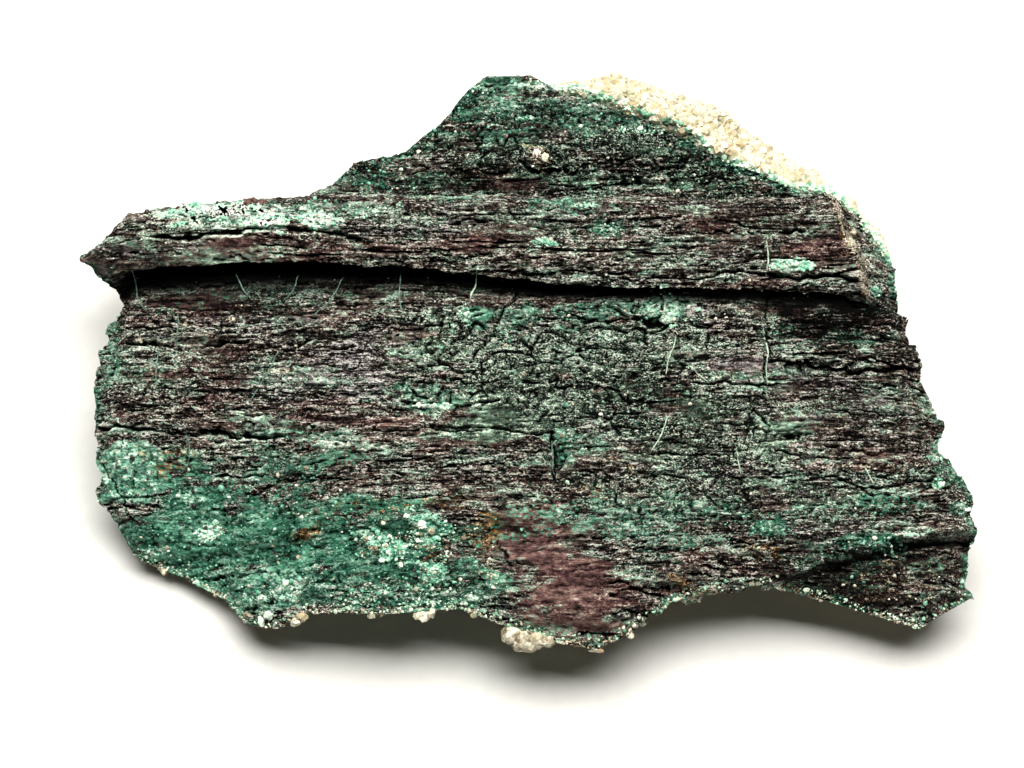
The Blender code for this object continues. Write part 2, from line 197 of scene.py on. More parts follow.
# The shelf of sandstone beyond the slab's far edge: its inner and outer lines and its height along
# x, how far it falls from the one to the other, its lumps' height, size and the stretch of x over
# which they start, and the shares of the rows at which the shelf starts, over which it steps up, and
# over which its grains begin.
SHELF_INNER = NORTH_EDGE[:-2] + ((48, 23), (52, 18.5), (54.5, 15), (56.5, 11.5), (57.5, 7), (59.5, 4))
SHELF_OUTER = ((-60, 21.3), (-38, 24), (-30, 26.5), (-26, 31), (-18, 33), (-12.5, 38), (-8.5, 44),
               (-4, 46.2), (3, 46.4), (11, 46.8), (15.5, 47.4), (20.5, 45), (27, 43), (32.5, 40),
               (38, 35.3), (47, 29), (53, 23.5), (57, 17.5), (59.5, 10))
SHELF_HEIGHT = ((-60, 8.0), (2, 8.0), (7, 11.5), (14, 14.0), (30, 13.5), (48, 12.5), (57, 12.0))
SHELF_FALL = 4.5
SHELF_LUMP, SHELF_LUMP_SIZE, SHELF_LUMP_START = 1.5, 3.6, (4, 9)
SHELF_START, SHELF_STEP, SHELF_BARE = 0.84, 0.03, 0.02
SHELF_CLEARANCE = 1.2
SHELF_WALL = 0.5
SHELF_MIN_WIDTH = 1.2
SHELF_FOOT_INSET = 3.0

# The underside is level where it rests, also round the middle, and hollowed elsewhere, by at most a
# share of the sandstone's height there.
REST_CENTRE = (2.0, -6.0)
REST_RADIUS, REST_EDGE = 12.0, 5.0
BOTTOM_HOLLOW = 2.2
HOLLOW_SHARE = 0.4

# ---------------------------------------------------------------------------------------------
# What the scene adds to the slab. The size of a cell along the grain, the rows of cells of each
# piece and the layers of its walls, the rows of the near rim, the shares of the rib's rows at its
# foot, lip, back and valley, the share of the sandstone's rows under the slab, and its own cells.
CELL_LENGTH = 0.27
NEAR_ROWS, MIDDLE_ROWS, RIB_ROWS, GROUND_ROWS = 158, 134, 124, 118
WALL_LAYERS = 16
NEAR_RIM_ROWS = 8
RIB_ROW_SHARES = (0, 0.2, 0.8, 1)
UNDER_SLAB_SHARE = 0.55
MATRIX_COLUMNS, MATRIX_ROWS, MATRIX_LAYERS = 280, 118, 24

# How much the film counts as a cover, how far covers and even ground soften the splinters and the
# cracks, how high crumbs stand on bare ground, the level in a crumb's noise at which it has no
# height, and the height of pale malachite.
FILM_COVER = 0.6
COVER_SOFTENS, EVEN_SOFTENS = 0.5, 0.75
COVER_FILLS, EVEN_CLOSES = 0.6, 0.7
BARE_CRUMBS, CRUMB_LEVEL = 0.5, 0.3
MINT_HEIGHT = 0.35
# Splinters of the split wood, flat on top with short slopes between: length, width, height.
SPLINTERS = ((24, 3.2, 0.26), (12, 1.5, 0.21), (6, 0.85, 0.18), (3.0, 0.55, 0.16), (1.5, 0.42, 0.14))
# Furrowed fibres along the grain: length, width, height.
FIBRES = ((13, 0.9, 0.22), (4.5, 0.5, 0.18))
# Crumbs of the broken surface, as long and as wide as each other: size, height.
CRUMBS = ((1.3, 0.26), (0.7, 0.24), (0.45, 0.18))
# Plates of the crackled crust: length, width, the cracks' share of a plate, and their depth.
CRACKLE = ((6.5, 3.6, 0.07, 0.8), (2.2, 1.4, 0.13, 0.6))
# Lanes along the grain, each with cracks in it: length of a crack, lane's width, half-width, depth.
CRACK_LANES = ((9, 3.4, 0.24, 1.0), (5, 1.9, 0.20, 0.8), (2.6, 1.1, 0.17, 0.6))
# Longer and finer cracks, which lie where the wood split along its strands.
STRAND_LANES = ((30, 1.5, 0.22, 0.8), (16, 0.9, 0.16, 0.6))
# Arc lengths of the rib's overhanging front and of its back, past what y alone gives, and how far
# the fibres wander with the grain and sway from it.
OVERHANG_ARC, BACK_ARC = 7.5, 4.0
FIBRE_WANDER, FIBRE_SWAY = 1.2, 0.25

# The line on which the near face and the middle face meet, along the longest cracks, and the row at
# which the search for it starts, its rounds, and the rows between which it stays.
SEAM = ((-64, -14), (-52, -14.3), (-43, -14.8), (-33, -15.5), (-19.5, -15), (2, -15.5), (20, -16),
        (34, -15.2), (41, -15.2), (47, -17), (66, -17.5))
SEAM_GUESS, SEAM_ROUNDS, SEAM_ROWS = 0.3, 12, (0.1, 0.5)

# Cracks that are seen one by one, as (points, half-width, depth).
CRACKS = (
    (((-60, -1), (-50, -1.6), (-41, -1)), 0.30, 1.1),
    (((-63.5, -13.5), (-59, -14), (-50.5, -14.6), (-42, -15), (-33, -15.6), (-26, -16.8)), 0.42, 1.5),
    (((-30, -16), (-24, -15), (-14, -14.5), (-6, -14.8)), 0.30, 1.1),
    (((-39.5, -1.5), (-29, -0.5), (-18.5, 0.5)), 0.22, 0.6),
    (((-18, -10), (-10.5, -10.5), (-3.5, -10)), 0.22, 0.7),
    (((-13.5, -14), (-3.5, -14.5), (4, -15.5)), 0.28, 0.9),
    (((-0.5, 6.5), (-3.5, 3), (-5, -0.5), (-7.5, -4)), 0.28, 1.3),
    (((5.5, 4), (8.5, 2.5), (18.5, 2.5), (20, 1), (22, 1.5)), 0.26, 1.0),
    (((2, -15), (4.5, -15.5), (4.6, -22)), 0.34, 1.4),
    (((25, -7.5), (33, -8), (35.5, -8.5)), 0.26, 0.8),
    (((17.5, -16), (23.5, -16.3), (29, -17), (34, -16.5), (41, -15)), 0.30, 1.1),
    (((37.5, -18), (41, -18.5), (45.5, -19.5), (49.5, -19.5)), 0.26, 0.8),
    (((30, -24), (32.5, -25), (36.5, -25), (42.5, -25.5)), 0.24, 0.7),
    (((36.5, 6), (37, -2), (36, -9.5)), 0.20, 0.7),
    (((36, -4), (45.5, -5.5), (53.5, -5.5), (59, -4.5)), 0.42, 1.0),
    (((-0.5, -18.5), (4, -18)), 0.24, 0.7),
    (((18.5, -18.5), (23.5, -18.5), (31, -17.5)), 0.24, 0.7),
    (((-3.5, -31.5), (-2.5, -34), (-1.5, -35.5)), 0.24, 0.6),
    (((8, -45), (11, -45), (13.5, -44.5)), 0.26, 0.7),
    (((12.5, -39.5), (17, -39), (21.5, -38.5)), 0.26, 0.7),
    (((-63, -23.5), (-58, -23.5), (-53, -22.5)), 0.24, 0.6),
    (((-46, -20.5), (-39, -20.5)), 0.24, 0.7),
    (((-48, -34.5), (-38, -34.5)), 0.24, 0.6),
    (((45.5, -11), (51.5, -11.5), (60.5, -11.5)), 0.24, 0.7),
    (((33, -13.5), (34.5, -11.5), (36, -13.5)), 0.24, 0.9),
    (((-60, 13), (-54, 13), (-44, 14), (-36, 14.6), (-30.5, 14), (-24.5, 13)), 0.42, 1.5),
    (((18, 20.5), (27, 20), (36, 20), (45, 20.5)), 0.30, 0.9),
    (((19, 7.6), (26.5, 7.7), (32.5, 8.5), (37.5, 8), (41.5, 7.5), (50, 7.5)), 0.32, 1.2),
    (((-0.5, 28.5), (2, 27.2), (7, 27)), 0.30, 1.0),
    (((20.5, 6.5), (20.9, 4.2), (20.3, 2.2)), 0.20, 0.8),
    (((36, 8.0), (42, 7.5), (50.5, 7.4)), 0.45, 1.7),
    (((24, -4.2), (27.5, -3.6), (30, -4.4)), 0.34, 1.0),
    (((-62.5, -18.5), (-60.5, -23), (-57.5, -27)), 0.22, 0.6),
    (((-20, -6.5), (-9, -7)), 0.20, 0.6),
    (((41, -22.5), (52, -23.5), (60, -22.5)), 0.24, 0.7),
    (((-6, 24.5), (6, 23.8), (19, 24.6)), 0.28, 0.9),
    (((6, 31.5), (14, 30.5), (23, 29.8)), 0.24, 0.7),
)
# Pits: x, y, half-length, half-width, depth.
PITS = ((19.8, 1.8, 1.3, 0.9, 1.3), (23.5, -3.6, 1.3, 0.6, 1.0), (26.8, -3.4, 1.6, 0.6, 1.0),
        (30, 3.4, 2.2, 0.8, 1.0), (60.5, -23, 1.6, 1.0, 1.0), (5.3, -19, 1.2, 2.2, 0.9),
        (16.6, -6.6, 0.9, 0.6, 0.8), (33.8, -13.2, 0.9, 1.0, 0.9), (-32.5, -21.6, 1.2, 0.6, 0.7))

# How far the painted shade under the rib's lip reaches over the face in front of it, along x.
LIP_SHADE = ((-66, 0), (-62, 0.6), (-57, 2.6), (-45, 3.4), (-22, 3.2), (-12, 1.6), (0, 1.2), (20, 1.0),
             (48, 1.2), (52.5, 1.0), (54.5, 0))
# The same painted shade under the near right layer's lip, and the stretch of x over which it starts.
LAYER_SHADE = ((36, 0.5), (50, 0.7), (55, 1.4), (66, 1.7))
LAYER_SHADE_START = (35, 40)

# Where the colours lie: ellipses of x, y, half-length, half-width and strength. An ellipse has its
# full strength up to the first of these shares of its size, and none past the second.
SPOT_EDGE = (0.35, 1.2)
MALACHITE = (
    (-38, -37.5, 9, 4.5, 1.1), (-27, -38, 9, 3.4, 1.1), (-47, -34.5, 7, 4, 1.0), (-14, -38, 9, 3.4, 1.0),
    (-6, 3.5, 3, 3, 0.9), (-24, -33, 14, 6, 0.9), (-58.5, -20, 7, 6, 1.2), (-48, -28, 16, 10, 1.0),
    (-33, -30, 16, 10, 0.85), (-20, -33, 15, 9, 0.78), (-34, -20.5, 12, 4.5, 0.55), (-9, -37, 9, 5, 0.6),
    (-18, -39.5, 17, 3, 0.85), (-45, -36, 8, 5, 0.85), (-58, -28, 7, 4, 0.8), (36, -30, 5, 1.8, 0.8),
    (20, -29, 24, 6, 0.42), (6, -27, 12, 4, 0.36), (6.4, -19, 2.2, 3.4, 0.6), (62.5, -20, 3, 5, 0.45),
    (64, -27, 2.6, 3.2, 0.5), (55, -26.5, 9, 2, 0.5), (52, -31.8, 8, 1.3, 1.0), (0, 38.5, 12, 7, 0.42),
    (-8, 36, 6, 6, 0.48), (8, 37, 8, 5, 0.42), (-22, 27, 8, 4, 0.42), (7, 18.7, 7, 2.6, 0.62),
    (13.5, 15.5, 4.5, 2, 0.6), (-38, 18, 16, 2.6, 0.5), (-10, 21, 12, 2, 0.4), (-42, 16.4, 13, 2.6, 0.8),
    (-31, 15.8, 6, 2.8, 0.7), (22, 4.5, 5, 3, 0.5), (10, 3.5, 9, 3, 0.55), (-1, 3, 6, 4, 0.55),
    (-13, -9, 7, 3, 0.40), (-36, -15, 14, 1.2, 0.55), (45, -41.5, 16, 2, 0.6), (13, -45.5, 9, 1.2, 0.5),
    (-62, -1, 2.5, 12, 0.45), (8, -17, 8, 3, 0.4),
)
MINT = (
    (-8.2, 3.2, 1.4, 1.8, 0.7), (-4.5, 5.4, 2.4, 1.1, 0.6), (-22.5, -31.3, 3.0, 1.9, 1.0),
    (-18.5, -33.6, 3.4, 2.0, 1.0), (-14.0, -29.3, 3.6, 2.4, 1.05), (-12.5, -36.5, 3.0, 1.6, 0.9),
    (-11, -33.5, 2.2, 1.4, 0.8), (-46.5, -28, 2.4, 1.5, 0.8), (-33.6, -37.4, 3.0, 1.2, 0.8),
    (-34.5, -20.5, 1.4, 1.0, 0.5), (-53.0, 16.4, 2.2, 0.9, 0.8), (-48.8, 17.0, 3.4, 1.6, 1.4),
    (-45.0, 16.6, 3.0, 1.9, 1.5), (-41.8, 17.2, 3.0, 1.8, 1.5), (-38.6, 16.2, 3.2, 2.0, 1.5),
    (-35.4, 15.4, 2.8, 1.8, 1.4), (-32.0, 15.6, 2.8, 2.0, 1.5), (-28.5, 15.8, 2.4, 1.2, 0.7),
    (-52, 14.8, 1.6, 0.7, 0.7), (-22, 17.5, 5, 1.4, 0.4), (4, 12.6, 2.8, 1.3, 0.8),
    (7.5, 11.2, 2.0, 0.9, 0.6), (40.5, 9.3, 3.2, 1.0, 1.4), (14.5, 15.2, 3.0, 1.0, 0.55),
    (9, 18.6, 3.6, 1.0, 0.6), (36, -30, 2.5, 0.7, 0.4), (61, -19, 1.4, 0.8, 0.6),
    (61, -23.5, 0.6, 1.6, 0.7), (64.5, -26.5, 1.0, 2.0, 0.6), (-7, 42.3, 3, 1.3, 0.6),
    (1.5, 42.6, 5, 1.2, 0.65), (-5.5, 37.5, 1.3, 0.8, 0.5), (0.5, 36.5, 1.6, 0.9, 0.6),
    (-5.5, 31.3, 2, 0.7, 0.5), (53.5, 7.5, 1.2, 0.8, 0.9), (-17, -39.2, 17, 1.8, 0.50),
    (14, 38.8, 6, 1.0, 0.55), (22, 34.8, 7, 1.0, 0.5), (-12.5, -10.8, 2.8, 0.5, 0.85),
    (12, -0.1, 1.8, 0.4, 0.7), (22.2, 1.2, 1.1, 0.5, 0.8), (-43, -15.6, 6, 0.5, 0.5),
    (-31, -13.9, 3, 0.4, 0.5), (51.5, -32.3, 4.5, 0.5, 0.75), (56.5, -31.0, 3, 0.5, 0.8),
    (-38, -38, 5, 1.2, 0.5), (45, -41.8, 12, 0.8, 0.5), (-56, -30.5, 4, 1.0, 0.4),
)
FILM = (
    (37, -18, 5, 2.6, 1.1), (28.5, -12, 6, 1.8, 0.9), (1, -8, 18, 13, 0.9), (14, -3, 18, 10, 0.85),
    (-10, 0, 7, 8, 0.75), (24, -16, 20, 6, 0.75), (45, -12, 14, 5, 0.5), (0, 33, 22, 12, 0.6),
    (20, 30, 18, 7, 0.45), (48, -25, 16, 5, 0.5), (-50, 13, 14, 3, 0.4), (-40, -4, 20, 5, 0.42),
    (50, -36, 15, 5, 0.32), (-56, -8, 8, 5, 0.5), (20, -24, 30, 5, 0.6), (-52, -17, 10, 2, 0.5),
    (0, 15, 40, 5, 0.35), (21.4, 4.2, 3.2, 2.8, 1.2), (24, 29, 24, 8, 0.8),
)
# Painted sheen: ellipses where the flat ore is painted pale pinkish grey for the shine it shows.
PAINTED_SHEEN = (
    (-27, -4, 9, 6, 0.85), (-35, -8, 7, 2.6, 0.6), (-49, 1.5, 5, 2.0, 0.5), (-57, 2, 5, 5, 0.35),
    (32.3, -5.6, 5.4, 3.0, 1.1), (43, -12.5, 7, 2.2, 0.9), (25.9, 4.0, 2.2, 1.1, 1.5),
    (28.5, 1.0, 4, 2.2, 0.7), (20, -7, 14, 4, 0.4), (45, -8, 8, 2, 0.5), (-15, 15, 22, 4, 0.4),
    (38, -12, 4, 2, 0.6), (14, -12, 5, 2.4, 0.5), (50, -10.5, 11, 3.5, 0.45), (50.5, 13, 2.5, 8, 0.6),
    (30, -22, 12, 4, 0.35), (-62, 10, 6, 2, 0.3),
)
CUPRITE = (
    (3, -31, 8, 13, 0.95), (5, -38, 9, 8, 1.2), (7, -42.5, 8, 5, 1.2), (-50, -9, 14, 5, 0.65),
    (-28, -12.5, 20, 3.2, 0.8), (52, -4, 9, 5, 0.5), (-50, 4, 12, 4, 0.6), (-51.5, 18.8, 2.6, 0.8, 0.95),
    (-41, 19.2, 3.2, 0.8, 0.9), (50, -20, 13, 3, 0.7), (24, -34, 12, 4, 0.5), (-8, 12.5, 24, 3, 0.4),
    (22, 14, 22, 4, 0.4), (-34, 12, 22, 2.2, 0.6), (47, -15.5, 12, 2.5, 0.5), (-8, -18, 14, 3.4, 0.75),
    (48.5, 19, 1.0, 6, 0.9), (46, 11.5, 8, 1.6, 0.75), (10, -39, 10, 5, 0.85), (-20, -23, 10, 3, 0.5),
    (50, -37, 15, 5, 0.5),
)
OCHRE = (
    (-31, -30, 2.5, 1.2, 0.7), (-12, -33, 4, 3, 0.5), (-24, -27.5, 10, 2.5, 0.35), (-6, -31, 3, 5, 0.5),
    (23.8, -37.5, 3, 1.2, 0.85), (2.5, 29.5, 2.4, 2.0, 0.6), (-10, -26, 8, 2, 0.4), (34, -33, 8, 2, 0.4),
    (-45.5, -27, 3, 1.4, 0.5), (27, -38.3, 6, 0.8, 0.6), (-34, 15.5, 3, 0.7, 0.6),
    (-47, -14.5, 4, 0.8, 0.5), (10, -24, 6, 2, 0.35), (50.0, 16, 2.4, 7, 0.9), (-52, -18, 5, 2, 0.4),
    (-53.5, -19.5, 1.2, 0.8, 0.5), (14, -19.5, 6, 1.6, 0.5),
)
CREAM = (
    (-51, 2.0, 2.0, 0.8, 0.75), (-47.5, 0.6, 1.4, 0.6, 0.6), (-44, 2.5, 0.8, 0.5, 0.6),
    (-57.5, -0.5, 0.8, 0.5, 0.9), (-43.6, 16.4, 2.0, 0.9, 0.9), (-51.0, 15.9, 2.6, 1.1, 0.95),
    (-34, 16.0, 1.6, 1.2, 1.0), (2.5, 29.5, 1.8, 1.5, 0.7), (-36.5, -5.5, 2.4, 0.5, 0.6),
    (-33, -3.2, 2.2, 0.5, 0.6), (-22, -33, 3, 1.6, 0.7), (-17, -38.6, 17, 2.6, 0.30),
    (-14, -31, 6, 4, 0.32), (50.5, 15, 2.2, 7.5, 1.0), (51, 20, 2.0, 3, 0.6), (50, -20.6, 9, 0.3, 0.6),
    (35, 7.4, 2.8, 0.35, 0.7), (-5, -35, 3, 4, 0.35), (25.9, 3.9, 1.4, 0.7, 0.5), (55, -37, 9, 4, 0.36),
    (13.5, -18.2, 7, 0.8, 0.4), (30, 3.2, 5, 2, 0.35), (-41, 5, 3, 0.5, 0.5), (2, 44, 9, 1.0, 0.6),
)
# How thickly malachite, pale malachite, ochre and cream lie along the slab's edges, on its walls,
# on the rib's right end, and on the near rim.
EDGE_GREEN, EDGE_MINT = 0.62, 0.45
END_OCHRE, END_CREAM, RIM_CREAM, WALL_CREAM = 0.62, 0.58, 0.56, 0.6
# How often the relief is blurred for narrow and for wide hollows, how much each counts towards the
# painted shade in hollows, how much of that painted shade the walls get, and the layer below which a
# point is on a wall.
NEAR_BLUR, FAR_BLUR = 4, 40
NARROW_HOLLOW_SHADE, WIDE_HOLLOW_SHADE, WALL_SHADE = 1.6, 0.7, 0.2
WALL_TOP = 0.97
# Lighter and darker ground, as ellipses with a strength below nothing where it is darker. The dark
# ones along the foot of the rib's front are painted shade under its lip.
TONE_AND_SHADE = (
    (0, 33, 24, 8, -0.17), (-8, 26, 26, 4, -0.26), (25, 28.5, 17, 6.5, -0.24), (-4, 24.5, 28, 3.8, -0.20),
    (49, 2.0, 13, 5, -0.44), (48, -7.5, 15, 4, -0.10), (42, 24, 12, 5, -0.08), (-45, 5, 22, 3.0, -0.14),
    (50, -36, 15, 5, -0.31), (36, 17, 20, 4, -0.08), (-45, 10.8, 20, 2.5, 0.04), (-35, -38, 18, 6, 0.04),
    (-10, 7, 12, 1.5, -0.08), (52, -14, 12, 2, -0.06), (-17, -32, 14, 8, -0.14), (50, -22, 12, 4, -0.05),
    (-20, -24, 14, 4, 0.05), (56, -2, 8, 4, -0.14), (21.4, 4.3, 2.6, 2.6, 0.14),
    (25.9, 3.9, 2.0, 1.0, 0.4), (4, -35, 9, 9, -0.04), (-58.5, -20, 7, 6, 0.21),
    (-45, 5.6, 20, 1.6, -0.22), (32.5, -6, 4, 2.2, -0.05), (16, -9.5, 9, 4, -0.14), (1, -12, 8, 2, -0.10),
    (-60, 11, 6, 3, -0.10), (-20, 38, 26, 12, -0.10), (-42, 16.4, 13, 2.4, 0.38),
    (-31, 15.8, 5, 2.4, 0.34), (40, -25, 12, 4, -0.03), (38, 27, 14, 6, -0.10),
)
# Where the wood split smooth and even.
EVEN = (
    (43, -12.5, 7, 2.2, 0.7), (28.5, -12, 6, 1.8, 0.6), (37, -18, 5, 2.4, 0.6), (-46, -29, 22, 10, 0.7),
    (50, -37, 15, 5, 0.5), (-18, -31, 14, 8, 0.6), (4, -35, 10, 10, 1.3), (7, -42, 9, 5, 1.2),
    (-58.5, -19.5, 7, 6, 1.1), (-46, 10.8, 21, 3.4, 0.75), (-6, -14.5, 15, 4, 0.95),
    (32.3, -5.6, 5.4, 3.0, 0.8), (50, -10, 12, 3, 0.35), (-44, 5, 16, 3, 0.4), (21.4, 4.2, 2.8, 2.6, 1.1),
    (20, 12, 30, 4, 0.3), (50, -26, 12, 3, 0.3),
)
# Where it split along its strands.
STRANDED = (
    (5, 13, 80, 8, 1.0), (50, -3, 16, 8, 1.0), (50, -14, 18, 5, 0.8), (-8, -15, 18, 4, 0.8),
    (50, -37, 16, 5, 0.8), (-50, -10, 16, 5, 0.8), (-50, 3, 14, 4, 0.6), (0, 25, 36, 3, 0.8),
)

# Veinlets that lie on the face, as points, radius and colour. Each is a tube with so many rings and
# so many corners, and noise shakes it sideways.
VEINLET_RINGS, VEINLET_CORNERS, VEINLET_SHAKE = 26, 6, 0.16
VEINLETS = (
    (((-58.5, 10), (-58.3, 7), (-56.8, 4)), 0.10, "green"),
    (((-43.4, 10), (-42.4, 8), (-40.8, 6.2)), 0.10, "green"),
    (((-33.8, 10), (-34.6, 7.6), (-36, 5.8)), 0.10, "green"),
    (((-26.9, 9.4), (-28.8, 6), (-31.5, 2.9)), 0.10, "green"),
    (((-18.3, 10.2), (-18.6, 6.5), (-18, 3.2)), 0.10, "green"),
    (((-51.8, 4), (-51.6, 1), (-51.9, -1.6)), 0.10, "green"),
    (((-54, -1.9), (-54.6, -5), (-54.4, -8.8)), 0.10, "green"),
    (((-36.3, -2.4), (-38, -6), (-40.8, -10.4)), 0.10, "green"),
    (((-6.6, 9), (-7.4, 7), (-7.8, 5.6)), 0.12, "cream"),
    (((4.4, -15.8), (4.5, -18.5), (4.7, -21.6)), 0.12, "green"),
    (((23.2, 0.2), (22.2, -3), (21.4, -6.6)), 0.11, "cream"),
    (((21.5, -12.4), (20.8, -15), (18.8, -18.2)), 0.11, "cream"),
    (((36.2, 1.3), (36.6, -3), (36.5, -7.8)), 0.11, "cream"),
    (((31.7, -17.4), (31.9, -19.4), (32.1, -21.6)), 0.11, "cream"),
    (((24.6, -4.8), (26, -6.2), (27.8, -7.8)), 0.11, "cream"),
    (((50.3, -20.8), (51, -22), (51.6, -23.4)), 0.11, "cream"),
    (((-50.2, -13.4), (-49.4, -17.4), (-50.2, -20)), 0.10, "green"),
    (((36.6, 13), (36.8, 10), (36.5, 7.6)), 0.11, "cream"),
)
# Pebbles and lumps that are seen one by one: x, y, radius, finish.
LUMPS = (
    (-40.7, -40.4, 1.0, "cream"), (-37.2, -41.2, 0.9, "mint"), (-38.3, -41.6, 0.7, "mint"),
    (-34.4, -20.6, 0.95, "green"), (-36.2, -21.2, 0.45, "cream"), (-31.8, -20.4, 0.45, "cream"),
    (-14.8, -29.4, 0.7, "mint"), (-16.8, -28.2, 0.6, "mint"), (-12.6, -28.6, 0.55, "mint"),
    (-13.4, -30.2, 0.55, "cream"), (-22.8, -31.2, 0.6, "cream"), (-21.2, -30.2, 0.55, "mint"),
    (-19.6, -33.6, 0.6, "mint"), (-18.0, -32.6, 0.55, "mint"), (-20.4, -29.2, 0.5, "cream"),
    (-17.6, -35.4, 0.5, "mint"), (22.4, 1.1, 0.55, "mint"), (25.2, 4.4, 0.4, "mint"),
    (26.6, 3.7, 0.4, "mint"), (-51.6, 17.8, 0.6, "red"), (-41.2, 18.6, 0.8, "red"),
    (-40.1, 18.9, 0.9, "red"), (-38.9, 18.6, 0.7, "red"), (-44.8, 17.2, 0.7, "cream"),
    (53.4, 7.4, 0.75, "green"), (-45.6, -26.8, 0.6, "mint"), (2.4, 29.8, 0.8, "cream"),
    (3.6, 29.0, 0.6, "cream"), (-57.4, -0.6, 0.45, "cream"),
)
# The sandstone's rim under the near edge, where single lumps stand out: x, how far out, radius.
RIM_LUMPS = (
    (-54, 0.1, 0.6), (-46, 0, 0.5), (-33.2, 0.4, 0.9), (-32.2, 0.2, 0.7), (-22, 0.1, 0.6),
    (-15.2, 0.3, 0.8), (-14.3, 0.5, 1.0), (-13.2, 0.3, 0.7), (-7, 0, 0.5), (10.4, 0.3, 0.7),
    (11.3, 0.4, 0.8), (15.8, 0.3, 0.7), (26, 0, 0.45), (44, 0, 0.4),
)

# The cream lump of quartz under the near lobe, of rounded knobs: the same numbers.
CREAM_LUMP = (
    (0.0, 0.5, 2.0), (2.2, 0.1, 1.7), (1.1, 1.0, 1.5), (-1.6, 0.5, 1.5), (3.6, -0.1, 1.2),
    (-0.4, 1.5, 1.1),
)

# Where crystals stand up on the shelf: x, y and half-length.
CRYSTALS = (
    (15.0, 42.6, 1.7), (16.4, 41.8, 1.3), (13.2, 38.9, 1.5), (18.6, 40.6, 1.2), (24.5, 38.2, 1.4),
    (33.4, 34.2, 1.2), (40.2, 28.8, 1.1), (47.5, 23.4, 1.0),
)
CRYSTALS_IN_A_CLUSTER = 3

# Sand grains of the sandstone: number, radius and how far they stand up.
SHELF_GRAINS = (1500, 0.85, 0.1)
WALL_GRAINS = (3800, 0.6, 0.0)
UNDERSIDE_GRAINS = (2600, 0.6, 0.24)
STAINED_GRAINS = (1500, 0.5, 0.9)
# Grains on the near rim: name, number, finish, the rows of the rim that they lie on, and 1 where
# they sink in by a random depth. Their radius is the size times e to the power of a normal number.
RIM_GRAINS = (("rim_grains", 1600, "weathered", (0, 4), 1),
              ("stained_rim_grains", 500, "stained", (1, 8), 0))
RIM_GRAIN_SIZE = 0.17
# A grain is a ball of so many points round and so many steps high.
GRAIN_GRID = (6, 4)
# Crumbs of the crusts: name, finish, number and radius.
CRUST_CRUMBS = (("pale_crumbs", "mint", 1300, 0.25), ("green_crumbs", "green", 3600, 0.22),
                ("cream_crumbs", "cream", 700, 0.22), ("dark_crumbs", "dark", 2000, 0.22))

# ---------------------------------------------------------------------------------------------
# Shapes

# Random values for the noise, and how far along and across them each further seed starts.
LATTICE_SIZE, FINE_LATTICE_SIZE = 64, 509
LATTICE = np.random.default_rng(29).uniform(-1, 1, (LATTICE_SIZE, LATTICE_SIZE))
FINE_LATTICE = np.random.default_rng(31).uniform(-1, 1, (FINE_LATTICE_SIZE, FINE_LATTICE_SIZE))
SEED_ALONG, SEED_ACROSS = 7.31, 3.17
# How far a plate's seat may be from the middle of its place, as a share of a plate.
JITTER = 0.46


def along(line, value):
    """The second number of a line's points, read off straight between them at the first."""
    points = np.array(line, dtype=float)
    return np.interp(value, points[:, 0], points[:, 1])


def smooth(value, low, high):
    """0 below low, 1 above high, and the cubic 3t² - 2t³ between them."""
    t = np.clip((value - low) / (high - low), 0, 1)
    return t * t * (3 - 2 * t)


def noise(x, y, length, width, seed, lattice=LATTICE):
    """Value noise from -1 to 1: random values on a lattice of length by width, blended smoothly."""
    size = len(lattice)
    across = x / length + seed * SEED_ALONG
    up = y / width + seed * SEED_ACROSS
    column = np.floor(across).astype(int)
    row = np.floor(up).astype(int)
    s = smooth(across - column, 0, 1)
    t = smooth(up - row, 0, 1)
    column, next_column = column % size, (column + 1) % size
    row, next_row = row % size, (row + 1) % size
    near = lattice[row, column] * (1 - s) + lattice[row, next_column] * s
    far = lattice[next_row, column] * (1 - s) + lattice[next_row, next_column] * s
    return near * (1 - t) + far * t


def fine(x, y, length, width, seed):
    """The same noise on a lattice large enough that its finest lumps never repeat on the slab."""
    return noise(x, y, length, width, seed, FINE_LATTICE)


def stepped(x, y, length, width, seed):
    """Noise from -1 to 1 with flat tops: each row of random values is slid along x by an amount of
    its own, and the blend to the next value and to the next row takes only the middle of the way."""
    size = len(FINE_LATTICE)
    up = y / width + seed * SEED_ACROSS
    row = np.floor(up).astype(int)
    levels = []
    for line in (row % size, (row + 1) % size):
        across = x / length + 50 * FINE_LATTICE[line, (7 * seed + 3) % size]
        column = np.floor(across).astype(int)
        share = smooth(across - column, 0.36, 0.64)
        near, far = FINE_LATTICE[line, column % size], FINE_LATTICE[line, (column + 1) % size]
        levels.append(near * (1 - share) + far * share)
    share = smooth(up - row, 0.28, 0.72)
    return levels[0] * (1 - share) + levels[1] * share


def crackle(x, y, length, width, seed):
    """Half the difference between the distances to the two nearest of a crust's jittered seats, in
    plates: 0 on the crack between two plates, and up to a half at a plate's middle."""
    size = len(FINE_LATTICE)
    across, up = x / length, y / width
    column, row = np.floor(across).astype(int), np.floor(up).astype(int)
    nearest, second = np.full(x.shape, 9.0), np.full(x.shape, 9.0)
    for i in (-1, 0, 1):
        for j in (-1, 0, 1):
            seat_x = column + i + 0.5 + JITTER * FINE_LATTICE[(row + j) % size, (column + i + seed) % size]
            seat_y = row + j + 0.5 + JITTER * FINE_LATTICE[(column + i) % size, (row + j + seed) % size]
            distance = np.hypot(across - seat_x, up - seat_y)
            second = np.minimum(second, np.maximum(nearest, distance))
            nearest = np.minimum(nearest, distance)
    return (second - nearest) / 2


def bed_height(x, y):
    """Height of the plane on which the slab lies."""
    return BED_LEVEL + BED_LEAN[0] * x + BED_LEAN[1] * y


